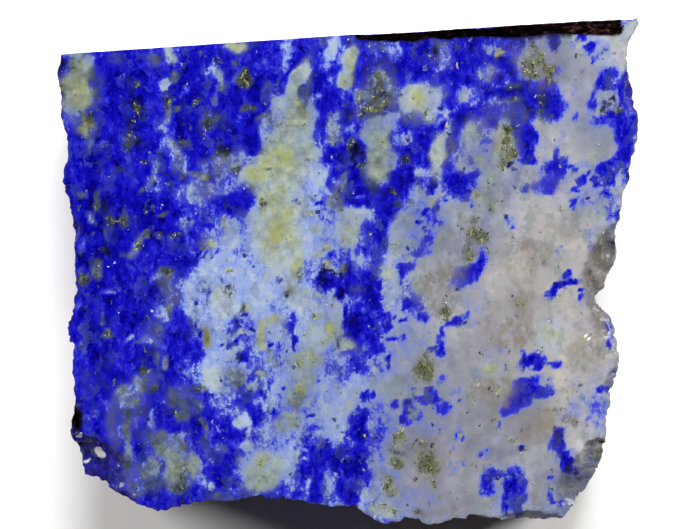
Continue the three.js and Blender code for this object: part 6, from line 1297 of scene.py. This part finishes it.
# Small grains: deep blue ones in and near the blue, and slate grey ones along the streaks.
blue_dots = dots(0.9, reach=0.42, share=0.2)
deep = calc("MULTIPLY", blue_dots, between(lazurite, 0.12, 0.24))
specked = blend(calc("MULTIPLY", deep, 0.9), veiled, pigment(24, 20, 118))
slate_dots = dots(0.6, reach=0.5, share=0.22)
dull = calc("MULTIPLY", slate_dots, between(streaks, -0.06, 0.1))
dulled = blend(calc("MULTIPLY", dull, 0.6), specked, pigment(76, 88, 112))

# Smoky calcite, olive diopside and rust stains.
unevenness = calc("MULTIPLY_ADD", mottle, 1.5, 1.0)
smoke = between(calc("MULTIPLY", unevenness, amount_of("smoke")), 0.0, 1.0)
dust = blend(warmth, pigment(98, 104, 112), pigment(126, 119, 110))
smoky = blend(calc("MULTIPLY", smoke, 0.85), dulled, dust)
sunken = calc("MULTIPLY_ADD", between(lazurite, 0.25, 0.8), -0.45, 0.72)
paleness = calc("MULTIPLY_ADD", clearness, -0.22, sunken)
olive = shades(
    calc("MULTIPLY_ADD", cloud(0.9, detail=3.0, coarse=0.6), 1.1, paleness),
    (0.1, pigment(62, 74, 84)),
    (0.35, pigment(100, 112, 104)),
    (0.6, pigment(144, 156, 136)),
    (0.85, pigment(182, 194, 170)),
)
green_share = between(calc("MULTIPLY", unevenness, amount_of("diopside")), 0.0, 0.85)
green_rock = blend(calc("MULTIPLY", green_share, 0.88), smoky, olive)
rust = between(calc("MULTIPLY", unevenness, amount_of("rust")), 0.0, 1.0)
stain = blend(warmth, pigment(166, 172, 90), pigment(148, 136, 112))
rusty = blend(calc("MULTIPLY", rust, 0.7), green_rock, stain)

# Dark grains, nearly black.
dark_share = between(calc("MULTIPLY", unevenness, amount_of("dark")), 0.0, 0.9)
darkened = blend(dark_share, rusty, pigment(12, 8, 52))

# Pyrite: little crystals in a dull olive crust, each with its own shade of brass, and the
# brightest shades are painted glints.
PYRITE_CRYSTAL = 0.2
MOST_METAL = 0.52

crystals, _ = cells_of(PYRITE_CRYSTAL, grain_places)
pyrite = amount_of("pyrite")
crust = between(calc("MULTIPLY", unevenness, pyrite), 0.1, 0.8)
crust_colour = blend(between(lazurite, 0.3, 0.7), pigment(90, 92, 68), pigment(40, 46, 48))
crusted = blend(calc("MULTIPLY", crust, 0.7), darkened, crust_colour)
metal = calc("LESS_THAN", crystals["Red"], calc("MULTIPLY", pyrite, MOST_METAL))
brass_and_glints = shades(
    crystals["Green"],
    (0.0, pigment(36, 40, 30)),
    (0.35, pigment(76, 82, 52)),
    (0.7, pigment(110, 120, 76)),
    (0.86, pigment(146, 156, 110)),
    (0.93, pigment(198, 198, 150)),
)
brassy = blend(metal, crusted, brass_and_glints)

# Painted glints and highlights: tiny white dots anywhere stand in for glints of lamplight on small
# grains, and the larger white spots are the painted highlights.
painted_glint_dots = dots(0.6, reach=0.24, share=0.05)
with_painted_glints = blend(calc("MULTIPLY", painted_glint_dots, 0.8), brassy, pigment(226, 230, 240))
with_painted_highlights = blend(between(amount_of("painted_highlight"), 0.25, 0.6), with_painted_glints, pigment(246, 248, 252))

# Broken faces are darkened a little, partly dust and partly painted shade of their rough surface.
# The rind is painted black and brown, partly its own colour and partly the shade of the unlit long
# side, with mauve-grey crystals showing through, the more so towards its right end.
CRYSTALS_START = 18.0
CRYSTALS_FULL = 26.0

axes = nodes.new("ShaderNodeSeparateXYZ")
feed(axes.inputs["Vector"], in_mm.outputs["Vector"])
to_the_right = between(axes.outputs["X"], CRYSTALS_START, CRYSTALS_FULL)
crystal_share = calc("MULTIPLY_ADD", to_the_right, 0.12, 0.46)
rind_and_shade_colours = shades(
    calc("ADD", cloud(0.9, detail=3.0, coarse=0.7), crystal_share),
    (0.4, pigment(2, 1, 1)),
    (0.6, pigment(12, 7, 6)),
    (0.72, pigment(60, 36, 34)),
    (0.85, pigment(130, 108, 116)),
)
broken_share = amount_of("broken")
# Painted shade and dust darken the broken faces.
weathered_and_shaded = blend(calc("MULTIPLY", broken_share, 0.28), with_painted_highlights, pigment(70, 64, 62))
rind_and_shade_share = amount_of("rind_and_shade")
stone_colour = blend(rind_and_shade_share, weathered_and_shaded, rind_and_shade_colours)
feed(shader.inputs["Base Color"], stone_colour)
feed(shader.inputs["Metallic"], calc("MULTIPLY", metal, 0.2))

# Gloss, and the relief that is too fine for the mesh.
SAWN_WET = 0.04
BROKEN_WET = 0.24
WET_ROUGHNESS = 0.1
RELIEF_DEPTH = 0.25 * MM
RELIEF_STRENGTH = 0.8

rind_dullness = calc("MULTIPLY_ADD", rind_and_shade_share, 0.5, 0.35)
feed(shader.inputs["Roughness"], calc("MULTIPLY_ADD", cloud(0.8), 0.3, rind_dullness))
shader.inputs["Specular IOR Level"].default_value = 0.0
shader.inputs["Coat Roughness"].default_value = WET_ROUGHNESS
dry_rind = calc("MULTIPLY_ADD", rind_and_shade_share, -1.5, broken_share)
wet = calc("MULTIPLY_ADD", dry_rind, BROKEN_WET, SAWN_WET)
feed(shader.inputs["Coat Weight"], calc("MAXIMUM", wet, 0.0))
pitting = calc("MULTIPLY_ADD", broken_share, 0.9, 0.05)
pits = calc("MULTIPLY", cloud(0.5, detail=4.0, coarse=0.65), pitting)
relief = nodes.new("ShaderNodeBump")
relief.inputs["Distance"].default_value = RELIEF_DEPTH
relief.inputs["Strength"].default_value = RELIEF_STRENGTH
feed(relief.inputs["Height"], pits)
feed(shader.inputs["Normal"], relief.outputs["Normal"])
stone.data.materials.clear()
stone.data.materials.append(lapis)

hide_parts("lapis_slab")
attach(stone, "root")
